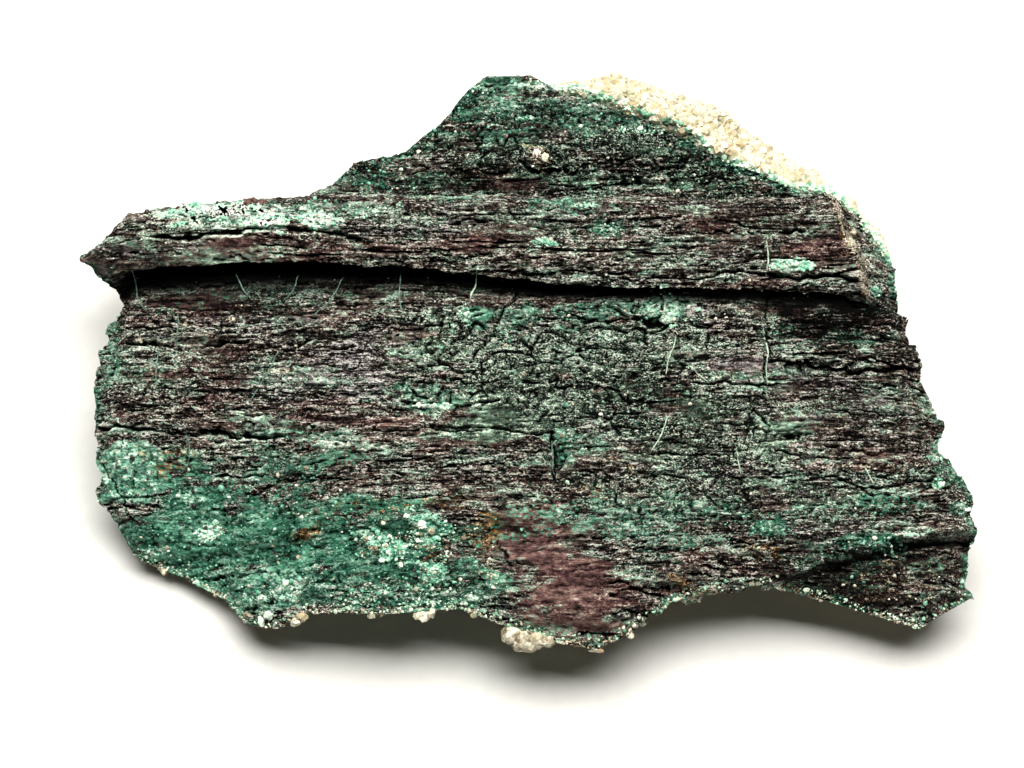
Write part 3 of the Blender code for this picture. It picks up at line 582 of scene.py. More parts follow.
def grain(x, y):
    """Ridges that run with the wood's grain: a broad set of noise and a narrower one, each times its
    height, less troughs where the broad one is low."""
    wander = noise(x, y, WANDER_LENGTH, WANDER_WIDTH, 5) * WANDER
    broad = noise(x, y + wander, BROAD_LENGTH, BROAD_WIDTH, 1)
    narrow = noise(x, y + wander, NARROW_LENGTH, NARROW_WIDTH, 2)
    return broad * BROAD_HEIGHT + narrow * NARROW_HEIGHT - TROUGH_DEPTH * smooth(-broad, 0.3, 0.8)


def beyond_layer(x, y):
    """How far a point lies past the broken lip of the near right layer, which chips make ragged."""
    return along(LAYER_LIP, x) + CHIP_DEPTH * fine(x, 0 * y, CHIP_LENGTH, 1, 71) - y


def face_height(x, y):
    """The main split face: nearly level, lower at the near left, with steps, hollows and ridges."""
    z = FACE_LEVEL + FACE_SLOPE * (y - LEVEL_Y) + grain(x, y)
    z -= NEAR_LEFT_DROP * smooth(-x, *NEAR_LEFT_X) * smooth(-y, *NEAR_LEFT_Y)
    ends = smooth(x, CRUST_END_X - CRUST_EDGE, CRUST_END_X + CRUST_EDGE)
    z += CRUST_HEIGHT * ((1 - ends) * smooth(x, *CRUST_START_X)) * smooth(y, *CRUST_START_Y)
    z += STEP_HEIGHT * smooth(x, CRUST_END_X, CRUST_END_X + STEP_RUN) * smooth(y, *STEP_START_Y)
    for centre_x, centre_y, half_length, half_width, depth in HOLLOWS:
        distance = np.hypot((x - centre_x) / half_length, (y - centre_y) / half_width)
        z -= depth * (1 - smooth(distance, 0.35, 1.0))
    past = beyond_layer(x, y)
    return z - LAYER_DROP * sum(share * smooth(past, low, high) for share, low, high in LAYER_STEPS)


def between_rows(v, rows, places):
    """Share out points between rows that lie at the given places."""
    spread = np.zeros_like(v)
    for low, high, place_low, place_high in zip(rows[:-1], rows[1:], places[:-1], places[1:]):
        share = (v - low) / (high - low)
        spread = np.where((v >= low) & (v <= high), place_low + (place_high - place_low) * share, spread)
    return spread


def near_rim_share(v):
    """1 on the near edge, and 0 past the width over which its rim rolls over."""
    return 1 - smooth(v * FACE_DEPTH, 0, NEAR_RIM_WIDTH)


def wood_plan(u, v, standing_out):
    """Plan place of a point of the slab. standing_out is 1 on the top face, where the rib hangs over
    the face in front of it and over the left end, and 0 on the flat underside."""
    left_y = np.interp(v, END_ROWS, LEFT_END_Y)
    left = along(LEFT_END, left_y)
    on_rib = smooth(v, UNDERSIDE - 0.02, LIP) * (1 - smooth(v, VALLEY, 1.0))
    left += (along(RIB_TIP, left_y) - left) * on_rib * standing_out
    right = along(RIGHT_END, np.interp(v, END_ROWS, RIGHT_END_Y))
    at_ends = smooth(u, 1 - END_BAND, 1.0) - smooth(-u, -END_BAND, 0.0)
    splinter = noise(v * FACE_DEPTH, u, END_SPLINTER_WIDTH, 1.0, 7) * at_ends
    x = left + (right - left) * u + END_SPLINTER * splinter

    front, back, north = along(RIB_FRONT, x), along(RIB_BACK, x), along(NORTH_EDGE, x)
    hollowed = smooth(u, *UNDERCUT_OPENS) * (1 - smooth(u, *UNDERCUT_CLOSES)) * standing_out
    foot = front - FOOT_LEDGE + (along(UNDERCUT, x) + FOOT_LEDGE) * hollowed
    underside = front + UNDERSIDE_REACH * (foot - front)
    valley = back + np.minimum(VALLEY_WIDTH, 0.5 * (north - back))
    rows = (0, FOOT, UNDERSIDE, LIP, BACK, VALLEY, 1)
    y = between_rows(v, rows, (along(SOUTH_EDGE, x), foot, underside, front, back, valley, north))
    return x, y - along(NEAR_BULGE, x) * near_rim_share(v) * standing_out


def rim_distance(u, v):
    """How far a point of the top is from the nearest edge of the slab."""
    sides = (v * FACE_DEPTH, (1 - v) * BACK_DEPTH, u * SLAB_LENGTH, (1 - u) * SLAB_LENGTH)
    return np.minimum.reduce(sides)


def wood_top_height(u, v, x, y):
    """Height of the slab's top: the face, the rib over it, and the rising ground behind the rib."""
    face = face_height(x, y)
    lip = along(LIP_HEIGHT, x) + LIP_WAVE * noise(x, 0 * y, LIP_WAVE_LENGTH, 1, 3)
    rib = lip + along(RIB_RISE, (v - LIP) / (BACK - LIP)) + RIB_RIDGES * grain(x, RIB_CLOSER * y)
    rib -= TIP_DROP * smooth(-x, *TIP_FALL) * smooth(v, LIP, BACK)
    climb = np.clip((v - VALLEY) / (1 - VALLEY), 0, 1)
    ground = VALLEY_LEVEL + PEAK_CLIMB * climb * smooth(x, *PEAK_START) + grain(x, GROUND_CLOSER * y)
    z = np.where(v < LIP, face + (lip - face) * np.clip((v - FOOT) / (LIP - FOOT), 0, 1), rib)
    z = np.where(v > BACK, rib + (ground - rib) * np.clip((v - BACK) / (VALLEY - BACK), 0, 1), z)
    beyond_rib = smooth(x - along(RIB_RIGHT_END, y), *RIB_BREAK) * smooth(v, FOOT, UNDERSIDE)
    z += (BEYOND_RIB_LEVEL + grain(x, y) - z) * beyond_rib
    z -= along(NEAR_RIM_DROP, x) * near_rim_share(v) ** ROLL
    return z - RIM_DROP * (1 - smooth(rim_distance(u, v), 0, RIM_WIDTH)) ** ROLL


def matrix_plan(u, v, w):
    """Plan place of a point of the sandstone: under the slab up to its far edge, then the shelf."""
    end_inset = END_INSET + (END_FOOT_INSET - END_INSET) * (1 - w)
    level_y = MATRIX_NEAR_Y + MATRIX_DEPTH * v
    left = along(LEFT_END, level_y) + end_inset
    right = along(MATRIX_RIGHT_END, level_y) - end_inset
    x = left + (right - left) * u
    south = along(SOUTH_EDGE, x) + along(NEAR_INSET, x) * w + along(FOOT_INSET, x) * (1 - w)
    inner = along(SHELF_INNER, x) + SHELF_CLEARANCE
    outer = np.maximum(along(SHELF_OUTER, x), inner + SHELF_MIN_WIDTH) - SHELF_FOOT_INSET * (1 - w)
    under = south + (inner - south) * v / SHELF_START
    shelf = inner + SHELF_WALL + (outer - inner - SHELF_WALL) * (v - SHELF_START) / (1 - SHELF_START)
    level = south + (outer - south) * v
    return x, level + (np.where(v <= SHELF_START, under, shelf) - level) * w


def across_grain(x, y, v):
    """How far a point is across the grain: y bent by the wandering of the grain, and carried on by
    arc length over the rib's overhanging front and down its back."""
    over = OVERHANG_ARC * np.clip((v - FOOT) / (LIP - FOOT), 0, 1)
    down = BACK_ARC * np.clip((v - BACK) / (VALLEY - BACK), 0, 1)
    wander = FIBRE_WANDER * noise(x, y, WANDER_LENGTH, WANDER_WIDTH, 5)
    return y + over + down + wander + FIBRE_SWAY * fine(x, y, 7, 4, 41)


def splinters(x, across):
    """Splinters of the split wood: the sum of the stepped noises, each times its height."""
    return sum(height * stepped(x, across, length, width, number + 1)
               for number, (length, width, height) in enumerate(SPLINTERS))


def furrows(x, across):
    """Rounded fibres with sharp furrows between them: for each set, the square root of the size of
    stretched noise, which is a sharp V at each of its zeros, broken off along the fibre by noise."""
    relief = np.zeros_like(x)
    for number, (length, width, height) in enumerate(FIBRES):
        broken = 0.35 + 0.65 * smooth(fine(x, across, 0.35 * length, 2 * width, number + 21), -0.3, 0.3)
        relief += height * broken * (np.sqrt(np.abs(fine(x, across, length, width, number + 1))) - 0.62)
    return relief


def lane_cracks(x, across, lanes, first=0):
    """Cracks that keep to lanes along the grain: in each lane a line jumps from side to side, a crack
    is as deep as its distance to that line is small, and noise along the lane opens and ends it."""
    depth = np.zeros_like(x)
    for number, (length, width, half_width, deepest) in enumerate(lanes, first):
        lane = np.floor(across / width)
        middle = 0.5 + 0.16 * fine(x, lane * 2, length * 0.6, 1, 11 + number)
        middle += 0.16 * stepped(x, lane, length * 0.22, 1, 14 + number)
        distance = np.abs(across / width - lane - middle) * width
        distance += 0.10 * fine(x, across, 0.9, 0.5, 17 + number)
        opened = smooth(fine(x, lane * 2, length * 0.5, 1, 22 + number), 0.2, 0.6)
        open_width = half_width * (0.3 + 0.7 * opened)
        depth = np.maximum(depth, deepest * opened * (1 - smooth(distance, 0.2 * open_width, open_width)))
    return depth


def crust_cracks(x, across):
    """The cracks between a crust's plates, left out where noise closes them."""
    depth = np.zeros_like(x)
    bent_x, bent = x + 0.9 * fine(x, across, 2.4, 1.6, 32), across + 0.6 * fine(x, across, 2.0, 1.2, 33)
    for number, (length, width, share, deepest) in enumerate(CRACKLE):
        opened = smooth(fine(x, across, length * 0.7, width, 34 + number), -0.25, 0.35)
        edge = crackle(bent_x, bent, length, width, 5 + number)
        depth = np.maximum(depth, deepest * opened * (1 - smooth(edge, 0.2 * share, share)))
    return depth


def distance_to_line(x, y, points):
    """Distance to a line of straight stretches: the least of the distances to each stretch."""
    nearest = np.full(x.shape, 1e9)
    for (ax, ay), (bx, by) in zip(points[:-1], points[1:]):
        length_squared = (bx - ax) ** 2 + (by - ay) ** 2
        share = np.clip(((x - ax) * (bx - ax) + (y - ay) * (by - ay)) / length_squared, 0, 1)
        nearest = np.minimum(nearest, np.hypot(x - ax - share * (bx - ax), y - ay - share * (by - ay)))
    return nearest


def named_cracks(x, y):
    """The cracks and pits that are seen one by one, with noise and steps to break up their edges."""
    shake = 0.22 * fine(x, y, 1.4, 0.8, 21) + 0.4 * fine(x, y, 5, 3, 22)
    shake += 0.28 * stepped(x, y, 2.2, 40, 24)
    sway = 0.4 * stepped(y, x, 1.3, 40, 25)
    tremble = 0.12 * fine(x, y, 0.8, 0.5, 23)
    depth = np.zeros_like(x)
    for points, half_width, deepest in CRACKS:
        distance = distance_to_line(x + sway, y + shake, points) + tremble
        depth = np.maximum(depth, deepest * (1 - smooth(distance, 0.1 * half_width, half_width * 1.2)))
    for centre_x, centre_y, half_length, half_width, deepest in PITS:
        distance = np.hypot((x - centre_x) / half_length, (y - centre_y) / half_width) + 2.5 * tremble
        depth = np.maximum(depth, deepest * (1 - smooth(distance, 0.5, 1.1)))
    return depth


def cover(x, y, spots, raggedness=0.35):
    """How thickly a crust lies: the greatest strength of its ellipses, falling to 0 at their edges,
    which noise makes ragged along the grain. A strength below nothing counts by its size."""
    ragged = raggedness * (fine(x, y, 5, 1.8, 51) + 0.7 * fine(x, y, 1.8, 0.8, 52))
    thickness = np.zeros_like(x)
    for centre_x, centre_y, half_length, half_width, strength in spots:
        distance = np.hypot((x - centre_x) / half_length, (y - centre_y) / half_width) + ragged
        here = strength * (1 - smooth(distance, *SPOT_EDGE))
        thickness = np.where(np.abs(here) > np.abs(thickness), here, thickness)
    return thickness


def slab_relief(x, y, v):
    """Everything that stands out of or cuts into the slab: splinters, fibres and cracks, softened
    where malachite or the grey-green film covers them, the film's own cracks, and crumbs, which are
    the size of stretched-out noise."""
    across = across_grain(x, y, v)
    malachite = cover(x, y, MALACHITE)
    crust = cover(x, y, FILM)
    covered = np.clip(malachite + FILM_COVER * crust, 0, 1)
    even = np.clip(cover(x, y, EVEN), 0, 1)
    relief = (1 - COVER_SOFTENS * covered) * (1 - EVEN_SOFTENS * even)
    relief = relief * (splinters(x, across) + furrows(x, across))
    closed = 1 - EVEN_CLOSES * even
    relief -= (1 - COVER_FILLS * covered) * closed * lane_cracks(x, across, CRACK_LANES)
    relief -= cover(x, y, STRANDED) * lane_cracks(x, across, STRAND_LANES, 40)
    relief -= closed * smooth(crust + 0.5 * malachite, 0.3, 0.8) * crust_cracks(x, across)
    for number, (size, height) in enumerate(CRUMBS):
        lump = np.abs(fine(x, across, size * 1.3, size, 61 + number)) - CRUMB_LEVEL
        relief += height * (BARE_CRUMBS + covered) * lump
    return relief + MINT_HEIGHT * cover(x, y, MINT) - named_cracks(x, y)


def base_top(u, v):
    """The slab's top without its relief, as an array of points."""
    u, v = np.clip(u, 0, 1), np.clip(v, 0, 1)
    x, y = wood_plan(u, v, 1.0)
    return np.stack((x, y, wood_top_height(u, v, x, y)), axis=-1)


def slab_top(u, v):
    """The slab's top: each point of it moved by the relief along the base's own outward direction,
    which is the cross product of its slopes along u and v."""
    point = base_top(u, v)
    along_u = base_top(u + 0.004, v) - base_top(u - 0.004, v)
    along_v = base_top(u, v + 0.006) - base_top(u, v - 0.006)
    outward = np.cross(along_u, along_v)
    outward /= np.linalg.norm(outward, axis=-1, keepdims=True)
    relief = slab_relief(point[..., 0], point[..., 1], v)
    return point + outward * relief[..., None], relief


def slab_place(u, v, w):
    """Every point of the slab: its top at w = 1, and below it walls that draw in to the underside
    by w², tucked in under the near rim, and broken by noise that runs with the grain."""
    top, relief = slab_top(u, v)
    length_share, depth_share = UNDERSIDE_SHARE
    x_low, y_low = wood_plan(0.5 + (u - 0.5) * length_share, 0.5 + (v - 0.5) * depth_share, 0.0)
    y_low += NEAR_TUCK * (1 - smooth(v * FACE_DEPTH, 0, 2 * NEAR_RIM_WIDTH))
    bed = bed_height(x_low, y_low)
    z = bed + (top[..., 2] - bed) * w
    ragged = WALL_ROUGHNESS * noise(top[..., 0] + top[..., 1], z * w, 4.0, 2.5, 8)
    for height, slant, length, thickness, seed in WALL_LUMPS:
        ragged += height * fine(top[..., 0] + slant * top[..., 1], z, length, thickness, seed)
    ragged *= w * (1 - w)
    x = x_low + (top[..., 0] - x_low) * w ** 2 - ragged * (u - 0.5)
    y = y_low + (top[..., 1] - y_low) * w ** 2 - ragged * (v - 0.5)
    return np.stack((x, y, z), axis=-1), relief


def matrix_place(u, v, w):
    """Every point of the sandstone: flat under the slab, a lumpy shelf and walls, and a hollowed
    underside that is level where it rests, all with the bumps of its sand grains."""
    x, y = matrix_plan(u, v, w)
    outward = np.clip((v - SHELF_START) / (1 - SHELF_START), 0, 1)
    shelf = along(SHELF_HEIGHT, x) - SHELF_FALL * outward ** 1.5
    shelf += SHELF_LUMP * noise(x, y, SHELF_LUMP_SIZE, SHELF_LUMP_SIZE, 11) * smooth(x, *SHELF_LUMP_START)
    bed = bed_height(*matrix_plan(u, v, 1.0)) - BED_GAP
    top = bed + (shelf - bed) * smooth(v, SHELF_START, SHELF_START + SHELF_STEP)
    lump = w * (1 - w) * MATRIX_LUMP * noise(x + 0.7 * y, top * w + 0.3 * y, 5.0, 3.0, 13)
    lump += w * (1 - w) * MATRIX_GRAIN * fine(x + 0.5 * y, top * w + 0.6 * y, 1.3, 1.1, 81)
    x = x - lump * (u - 0.5)
    y = y - lump * (v - 0.5)
    hollow = BOTTOM_HOLLOW * np.clip(noise(x, y, 13, 11, 17) + noise(x, y, 5, 5, 19) * 0.5, 0, 1)
    away = smooth(np.hypot(x - REST_CENTRE[0], y - REST_CENTRE[1]), REST_RADIUS, REST_RADIUS + REST_EDGE)
    hollow *= away
    hollow += UNDERSIDE_GRAIN * (1 - w) * np.abs(fine(x, y, 1.4, 1.3, 82)) * (0.3 + 0.7 * away)
    hollow = np.minimum(hollow, HOLLOW_SHARE * top)
    bumps = SHELF_GRAIN * np.abs(fine(x, y, 1.3, 1.2, 83))
    bumps = bumps * smooth(v, SHELF_START, SHELF_START + SHELF_BARE) * w
    return np.stack((x, y, hollow + (top - hollow) * w + bumps), axis=-1)


def block_grid(columns, rows, layers, grid_below):
    """A closed box of cells: the u, s, w of each vertex, from 0 to 1, its four-sided faces and the
    ring of its underside. The top is a grid at w = 1, the walls are rings below its edge, and the
    underside is a grid too where grid_below is true, and otherwise one face on the last ring."""
    index = np.arange((columns + 1) * (rows + 1)).reshape(columns + 1, rows + 1)
    u, s = np.meshgrid(np.linspace(0, 1, columns + 1), np.linspace(0, 1, rows + 1), indexing="ij")
    top = np.stack((u.ravel(), s.ravel(), np.ones(u.size)), axis=-1)
    rim = np.concatenate((index[:-1, 0], index[-1, :-1], index[:0:-1, -1], index[0, :0:-1]))
    heights = np.linspace(1, 0, layers + 1)[1:]
    walls = np.concatenate([np.column_stack((top[rim, :2], np.full(rim.size, w))) for w in heights])
    rings = np.vstack((rim, top.shape[0] + np.arange(layers * rim.size).reshape(layers, rim.size)))
    ahead = np.roll(rings, -1, axis=1)
    squares = np.stack((index[:-1, :-1], index[1:, :-1], index[1:, 1:], index[:-1, 1:]), axis=-1)
    sides = np.stack((rings[:-1], rings[1:], ahead[1:], ahead[:-1]), axis=-1)
    faces = [squares.reshape(-1, 4), sides.reshape(-1, 4)]
    points = [top, walls]
    if grid_below:
        below = np.zeros_like(index)
        below.ravel()[rim] = rings[-1]
        inner = np.arange((columns - 1) * (rows - 1)) + top.shape[0] + walls.shape[0]
        below[1:-1, 1:-1] = inner.reshape(columns - 1, rows - 1)
        points.append(top.reshape(columns + 1, rows + 1, 3)[1:-1, 1:-1].reshape(-1, 3) * (1, 1, 0))
        squares = np.stack((below[:-1, 1:], below[1:, 1:], below[1:, :-1], below[:-1, :-1]), axis=-1)
        faces.append(squares.reshape(-1, 4))
    return np.concatenate(points), np.concatenate(faces), rings[-1][::-1]


def blurred(values, times):
    """A grid of values with each one averaged with its four neighbours, so many times over."""
    for _ in range(times):
        padded = np.pad(values, 1, mode="edge")
        beside = padded[:-2, 1:-1] + padded[2:, 1:-1] + padded[1:-1, :-2] + padded[1:-1, 2:]
        values = (beside + values) / 5
    return values


def keep_in_box(points):
    """The points in millimetres, none of them further out than the margin inside the solid's box."""
    low, high = np.array(CAD_BOX[0]) / MM, np.array(CAD_BOX[1]) / MM
    return np.clip(points, low + BOX_MARGIN, high - BOX_MARGIN)


def add_piece(name, points, faces, attributes, finish, cap=None, smooth_angle=None):
    """A mesh object from arrays: points in millimetres, four- or three-sided faces, and perhaps one
    larger face, with a number at each point for each attribute."""
    mesh = bpy.data.meshes.new(name)
    corners = faces.ravel()
    starts = np.arange(len(faces)) * faces.shape[1]
    if cap is not None:
        starts = np.append(starts, corners.size)
        corners = np.concatenate((corners, cap))
    mesh.vertices.add(len(points))
    mesh.vertices.foreach_set("co", (points * MM).ravel())
    mesh.loops.add(corners.size)
    mesh.loops.foreach_set("vertex_index", corners.astype(np.int32))
    mesh.polygons.add(starts.size)
    mesh.polygons.foreach_set("loop_start", starts.astype(np.int32))
    mesh.update(calc_edges=True)
    mesh.validate()
    for attribute, values in attributes.items():
        layer = mesh.attributes.new(attribute, "FLOAT", "POINT")
        layer.data.foreach_set("value", np.ascontiguousarray(values, dtype=np.float32))
    if smooth_angle is None:
        mesh.shade_flat()
    else:
        mesh.shade_smooth()
        mesh.set_sharp_from_angle(angle=math.radians(smooth_angle))
    mesh.materials.append(finish)
    piece = bpy.data.objects.new(name, mesh)
    bpy.context.scene.collection.objects.link(piece)
    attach(piece, BODY)
    return piece


def lip_painted_shade(x, y, v):
    """How much painted shade a point gets under the rib's lip: 1 on the overhang's underside, and
    fading out over the face in front of it."""
    reach = along(LIP_SHADE, x)
    before = along(RIB_FRONT, x) - y
    on_face = (1 - smooth(before, 0.35 * reach, 1.6 * reach + 0.9)) * (v <= FOOT)
    on_front = (1 - smooth(v, UNDERSIDE, LIP - 0.004)) * (v > FOOT)
    return np.maximum(on_face, on_front) * smooth(reach, 0.0, 0.6)


def layer_painted_shade(x, y):
    """How much painted shade a point gets under the near right layer's lip: a narrow band past it."""
    past = beyond_layer(x, y) / along(LAYER_SHADE, x)
    return smooth(x, *LAYER_SHADE_START) * smooth(past, 0.2, 0.6) * (1 - smooth(past, 0.7, 1.6))


def slab_attributes(points, relief, u, v, w, columns, rows):
    """How much of each crust and colour lies at each point of a slab piece, and how hollow it is, which
    paints shade into its hollows and makes its ridges paler: on the top grid, the relief blurred a
    little and blurred widely, each less the relief itself."""
    x, y, z = points.T
    count = (columns + 1) * (rows + 1)
    grid = relief[:count].reshape(columns + 1, rows + 1)
    # Painted shade: the walls get a set amount of it, the top's hollows more and its ridges less.
    hollow = np.full(len(points), WALL_SHADE)
    near = blurred(grid, NEAR_BLUR)
    far = blurred(near, FAR_BLUR)
    hollow[:count] = ((near - grid) * NARROW_HOLLOW_SHADE + (far - grid) * WIDE_HOLLOW_SHADE).ravel()
    on_wall = (w < WALL_TOP) * smooth(fine(x + y, z, 2.4, 1.2, 94), -0.5, 0.3)
    near_edge = (v < 0.02) * (w < WALL_TOP)
    edge = (1 - smooth(rim_distance(u, v), 0.2, 2.0)) * smooth(fine(x, y, 5, 5, 93), -0.5, 0.3)
    rim = (1 - smooth(v * FACE_DEPTH, 0.2, 1.3)) * smooth(fine(x, y, 2.4, 1.6, 96), -0.6, 0.2)
    past = x - along(RIB_RIGHT_END, y)
    rib_end = smooth(past, -0.9, -0.3) * (1 - smooth(past, 1.3, 1.9))
    rib_end = rib_end * (v > LIP) * (v < VALLEY) * (y > 5.5)
    malachite = np.maximum(cover(x, y, MALACHITE), EDGE_GREEN * np.maximum(edge, on_wall)) * (1 - rib_end)
    return {
        "hollow": np.clip(hollow, -1, 1),
        # Painted shade under the rib's lip and under the near right layer's lip.
        "dark": np.maximum(lip_painted_shade(x, y, v), layer_painted_shade(x, y)),
        # The ground's tone, with painted shade along the foot of the rib's front.
        "tone": cover(x, y, TONE_AND_SHADE, 0.5),
        "even": cover(x, y, EVEN, 0.5),
        "malachite": np.clip(malachite, 0, 1),
        "mint": np.maximum(cover(x, y, MINT, 0.45), EDGE_MINT * near_edge * on_wall),
        "film": cover(x, y, FILM, 0.5),
        # Painted sheen, on the top only.
        "painted_sheen": cover(x, y, PAINTED_SHEEN, 0.5) * (w > 0.9),
        "cuprite": cover(x, y, CUPRITE, 0.5),
        "ochre": np.maximum(cover(x, y, OCHRE, 0.6), END_OCHRE * rib_end),
        "cream": np.maximum.reduce((cover(x, y, CREAM, 0.5), END_CREAM * rib_end, RIM_CREAM * rim,
                                    WALL_CREAM * near_edge * smooth(fine(x, z, 3, 2, 95), -0.4, 0.4))),
    }


def slab_piece(name, rows, row_place, finish):
    """One closed piece of the slab. row_place gives v, the slab's own row, for each u and for each
    share s of the way from the piece's near edge to its far one. It returns the points of the top and
    the colours there."""
    columns = int(SLAB_LENGTH / CELL_LENGTH)
    unit, faces, cap = block_grid(columns, rows, WALL_LAYERS, False)
    u, s, w = unit.T
    v = row_place(u, s)
    points, relief = slab_place(u, v, w)
    points = keep_in_box(points)
    attributes = slab_attributes(points, relief, u, v, w, columns, rows)
    piece = add_piece(name, points, faces, attributes, finish, cap, smooth_angle=50)
    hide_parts("chalcocite_wood")
    count = (columns + 1) * (rows + 1)
    return points[:count], {kind: values[:count] for kind, values in attributes.items()}


def seam_row(u):
    """The slab's row at which the near and the middle face meet, where y is the seam's: in each round
    the row moves by what y still lacks, over the face's depth."""
    v = np.full_like(u, SEAM_GUESS)
    for _ in range(SEAM_ROUNDS):
        x, y = wood_plan(u, v, 1.0)
        v = np.clip(v + (along(SEAM, x) - y) / FACE_DEPTH, *SEAM_ROWS)
    return v


def make_slab(finish):
    """The four pieces of the slab, whose rows run from the near edge to the seam, from there to the
    rib's foot, over the rib, and on to the far edge. It returns the points of their tops, the colours
    there, and the first rows of points along the near edge, which are the near rim."""
    tops = [
        slab_piece("near_face", NEAR_ROWS, lambda u, s: s * seam_row(u), finish),
        slab_piece("middle_face", MIDDLE_ROWS,
                   lambda u, s: seam_row(u) + s * (FOOT - seam_row(u)), finish),
        slab_piece("rib", RIB_ROWS,
                   lambda u, s: np.interp(s, RIB_ROW_SHARES, (FOOT, LIP, BACK, VALLEY)), finish),
        slab_piece("ground_behind_rib", GROUND_ROWS, lambda u, s: VALLEY + s * (1 - VALLEY), finish),
    ]
    points = np.concatenate([top for top, _ in tops])
    colours = {kind: np.concatenate([amounts[kind] for _, amounts in tops]) for kind in tops[0][1]}
    return points, colours, tops[0][0].reshape(-1, NEAR_ROWS + 1, 3)[:, :NEAR_RIM_ROWS]


def make_sandstone(finish):
    """The rind of sandstone, in one closed piece, with malachite on its near wall and beside the slab.
    It returns its points and their v and w."""
    unit, faces, _ = block_grid(MATRIX_COLUMNS, MATRIX_ROWS, MATRIX_LAYERS, True)
    u, s, w = unit.T
    v = np.interp(s, (0, UNDER_SLAB_SHARE, 1), (0, SHELF_START - 0.01, 1))
    points = keep_in_box(matrix_place(u, v, w))
    x, y, z = points.T
    beside_slab = 1 - smooth(y - along(SHELF_INNER, x), 0.8, 3.2)
    beside_slab = beside_slab * smooth(fine(x, y, 3, 2, 92), -0.6, 0.4)
    near_wall = 0.5 * cover(x, y, MALACHITE, 0.6) * smooth(-y, 25, 32) * smooth(z, 1.5, 4)
    attributes = {"malachite": np.maximum(near_wall, 0.7 * beside_slab * (v > SHELF_START))}
    piece = add_piece("sandstone", points, faces, attributes, finish, smooth_angle=40)
    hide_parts("quartz_matrix")
    return points, v, w


def closed_rings(count, around):
    """The three-sided faces of a closed form: one point, so many rings of points, and a last point."""
    rings = 1 + np.arange(around * count).reshape(count, around)
    ahead = np.roll(rings, -1, axis=1)
    last = np.full(around, 1 + around * count)
    return np.concatenate((np.column_stack((np.zeros(around, int), ahead[0], rings[0])),
                           np.stack((rings[:-1], ahead[:-1], ahead[1:]), axis=-1).reshape(-1, 3),
                           np.stack((rings[:-1], ahead[1:], rings[1:]), axis=-1).reshape(-1, 3),
                           np.column_stack((rings[-1], ahead[-1], last))))


def ball(around, up):
    """A ball of unit radius on a grid of longitude and latitude, with one point at each pole: its
    points and its faces."""
    longitude = np.arange(around) * 2 * np.pi / around
    latitude = np.linspace(-np.pi / 2, np.pi / 2, up + 1)[1:-1]
    ring = np.stack((np.cos(longitude), np.sin(longitude)), axis=-1)
    middle = [np.column_stack((ring * np.cos(angle), np.full(around, np.sin(angle))))
              for angle in latitude]
    return np.vstack([[(0, 0, -1)]] + middle + [[(0, 0, 1)]]), closed_rings(up - 1, around)


def random_turns(count, rng):
    """A random rotation matrix for each grain, from unit quaternions."""
    a, b, c, d = rng.normal(size=(4, count))
    size = np.sqrt(a * a + b * b + c * c + d * d)
    a, b, c, d = a / size, b / size, c / size, d / size
    rows = ((1 - 2 * (c * c + d * d), 2 * (b * c - a * d), 2 * (b * d + a * c)),
            (2 * (b * c + a * d), 1 - 2 * (b * b + d * d), 2 * (c * d - a * b)),
            (2 * (b * d - a * c), 2 * (c * d + a * b), 1 - 2 * (b * b + c * c)))
    return np.stack([np.stack(row, axis=-1) for row in rows], axis=1)


def scatter(name, seats, sizes, shape, finish, seed, squash=(0.6, 1), lumpiness=0.2,
            smooth_angle=None):
    """Many grains joined in one mesh: at each seat a ball with its points moved in and out at random,
    each of its axes stretched to a share of its size between the squash's two, and turned at random."""
    rng = np.random.default_rng(seed)
    points, faces = shape
    count = len(seats)
    stretch = sizes[:, None] * rng.uniform(squash[0], squash[1], (count, 3))
    radius = 1 + lumpiness * rng.uniform(-1, 1, (count, len(points), 1))
    bodies = points[None] * radius * stretch[:, None, :]
    bodies = np.einsum("nij,nkj->nki", random_turns(count, rng), bodies) + seats[:, None, :]
    all_faces = (faces[None] + np.arange(count)[:, None, None] * len(points)).reshape(-1, 3)
    tone = np.repeat(rng.uniform(0, 1, count), len(points))
    place = keep_in_box(bodies.reshape(-1, 3))
    return add_piece(name, place, all_faces, {"tone": tone}, finish, smooth_angle=smooth_angle)


def pick(weights, count, rng):
    """So many places, picked at random with the given weights."""
    return rng.choice(len(weights), size=count, replace=False, p=weights / weights.sum())


def seats_near(points, places):
    """The point of a surface that is nearest in plan to each place."""
    return points[[np.argmin(np.hypot(points[:, 0] - x, points[:, 1] - y)) for x, y in places]]


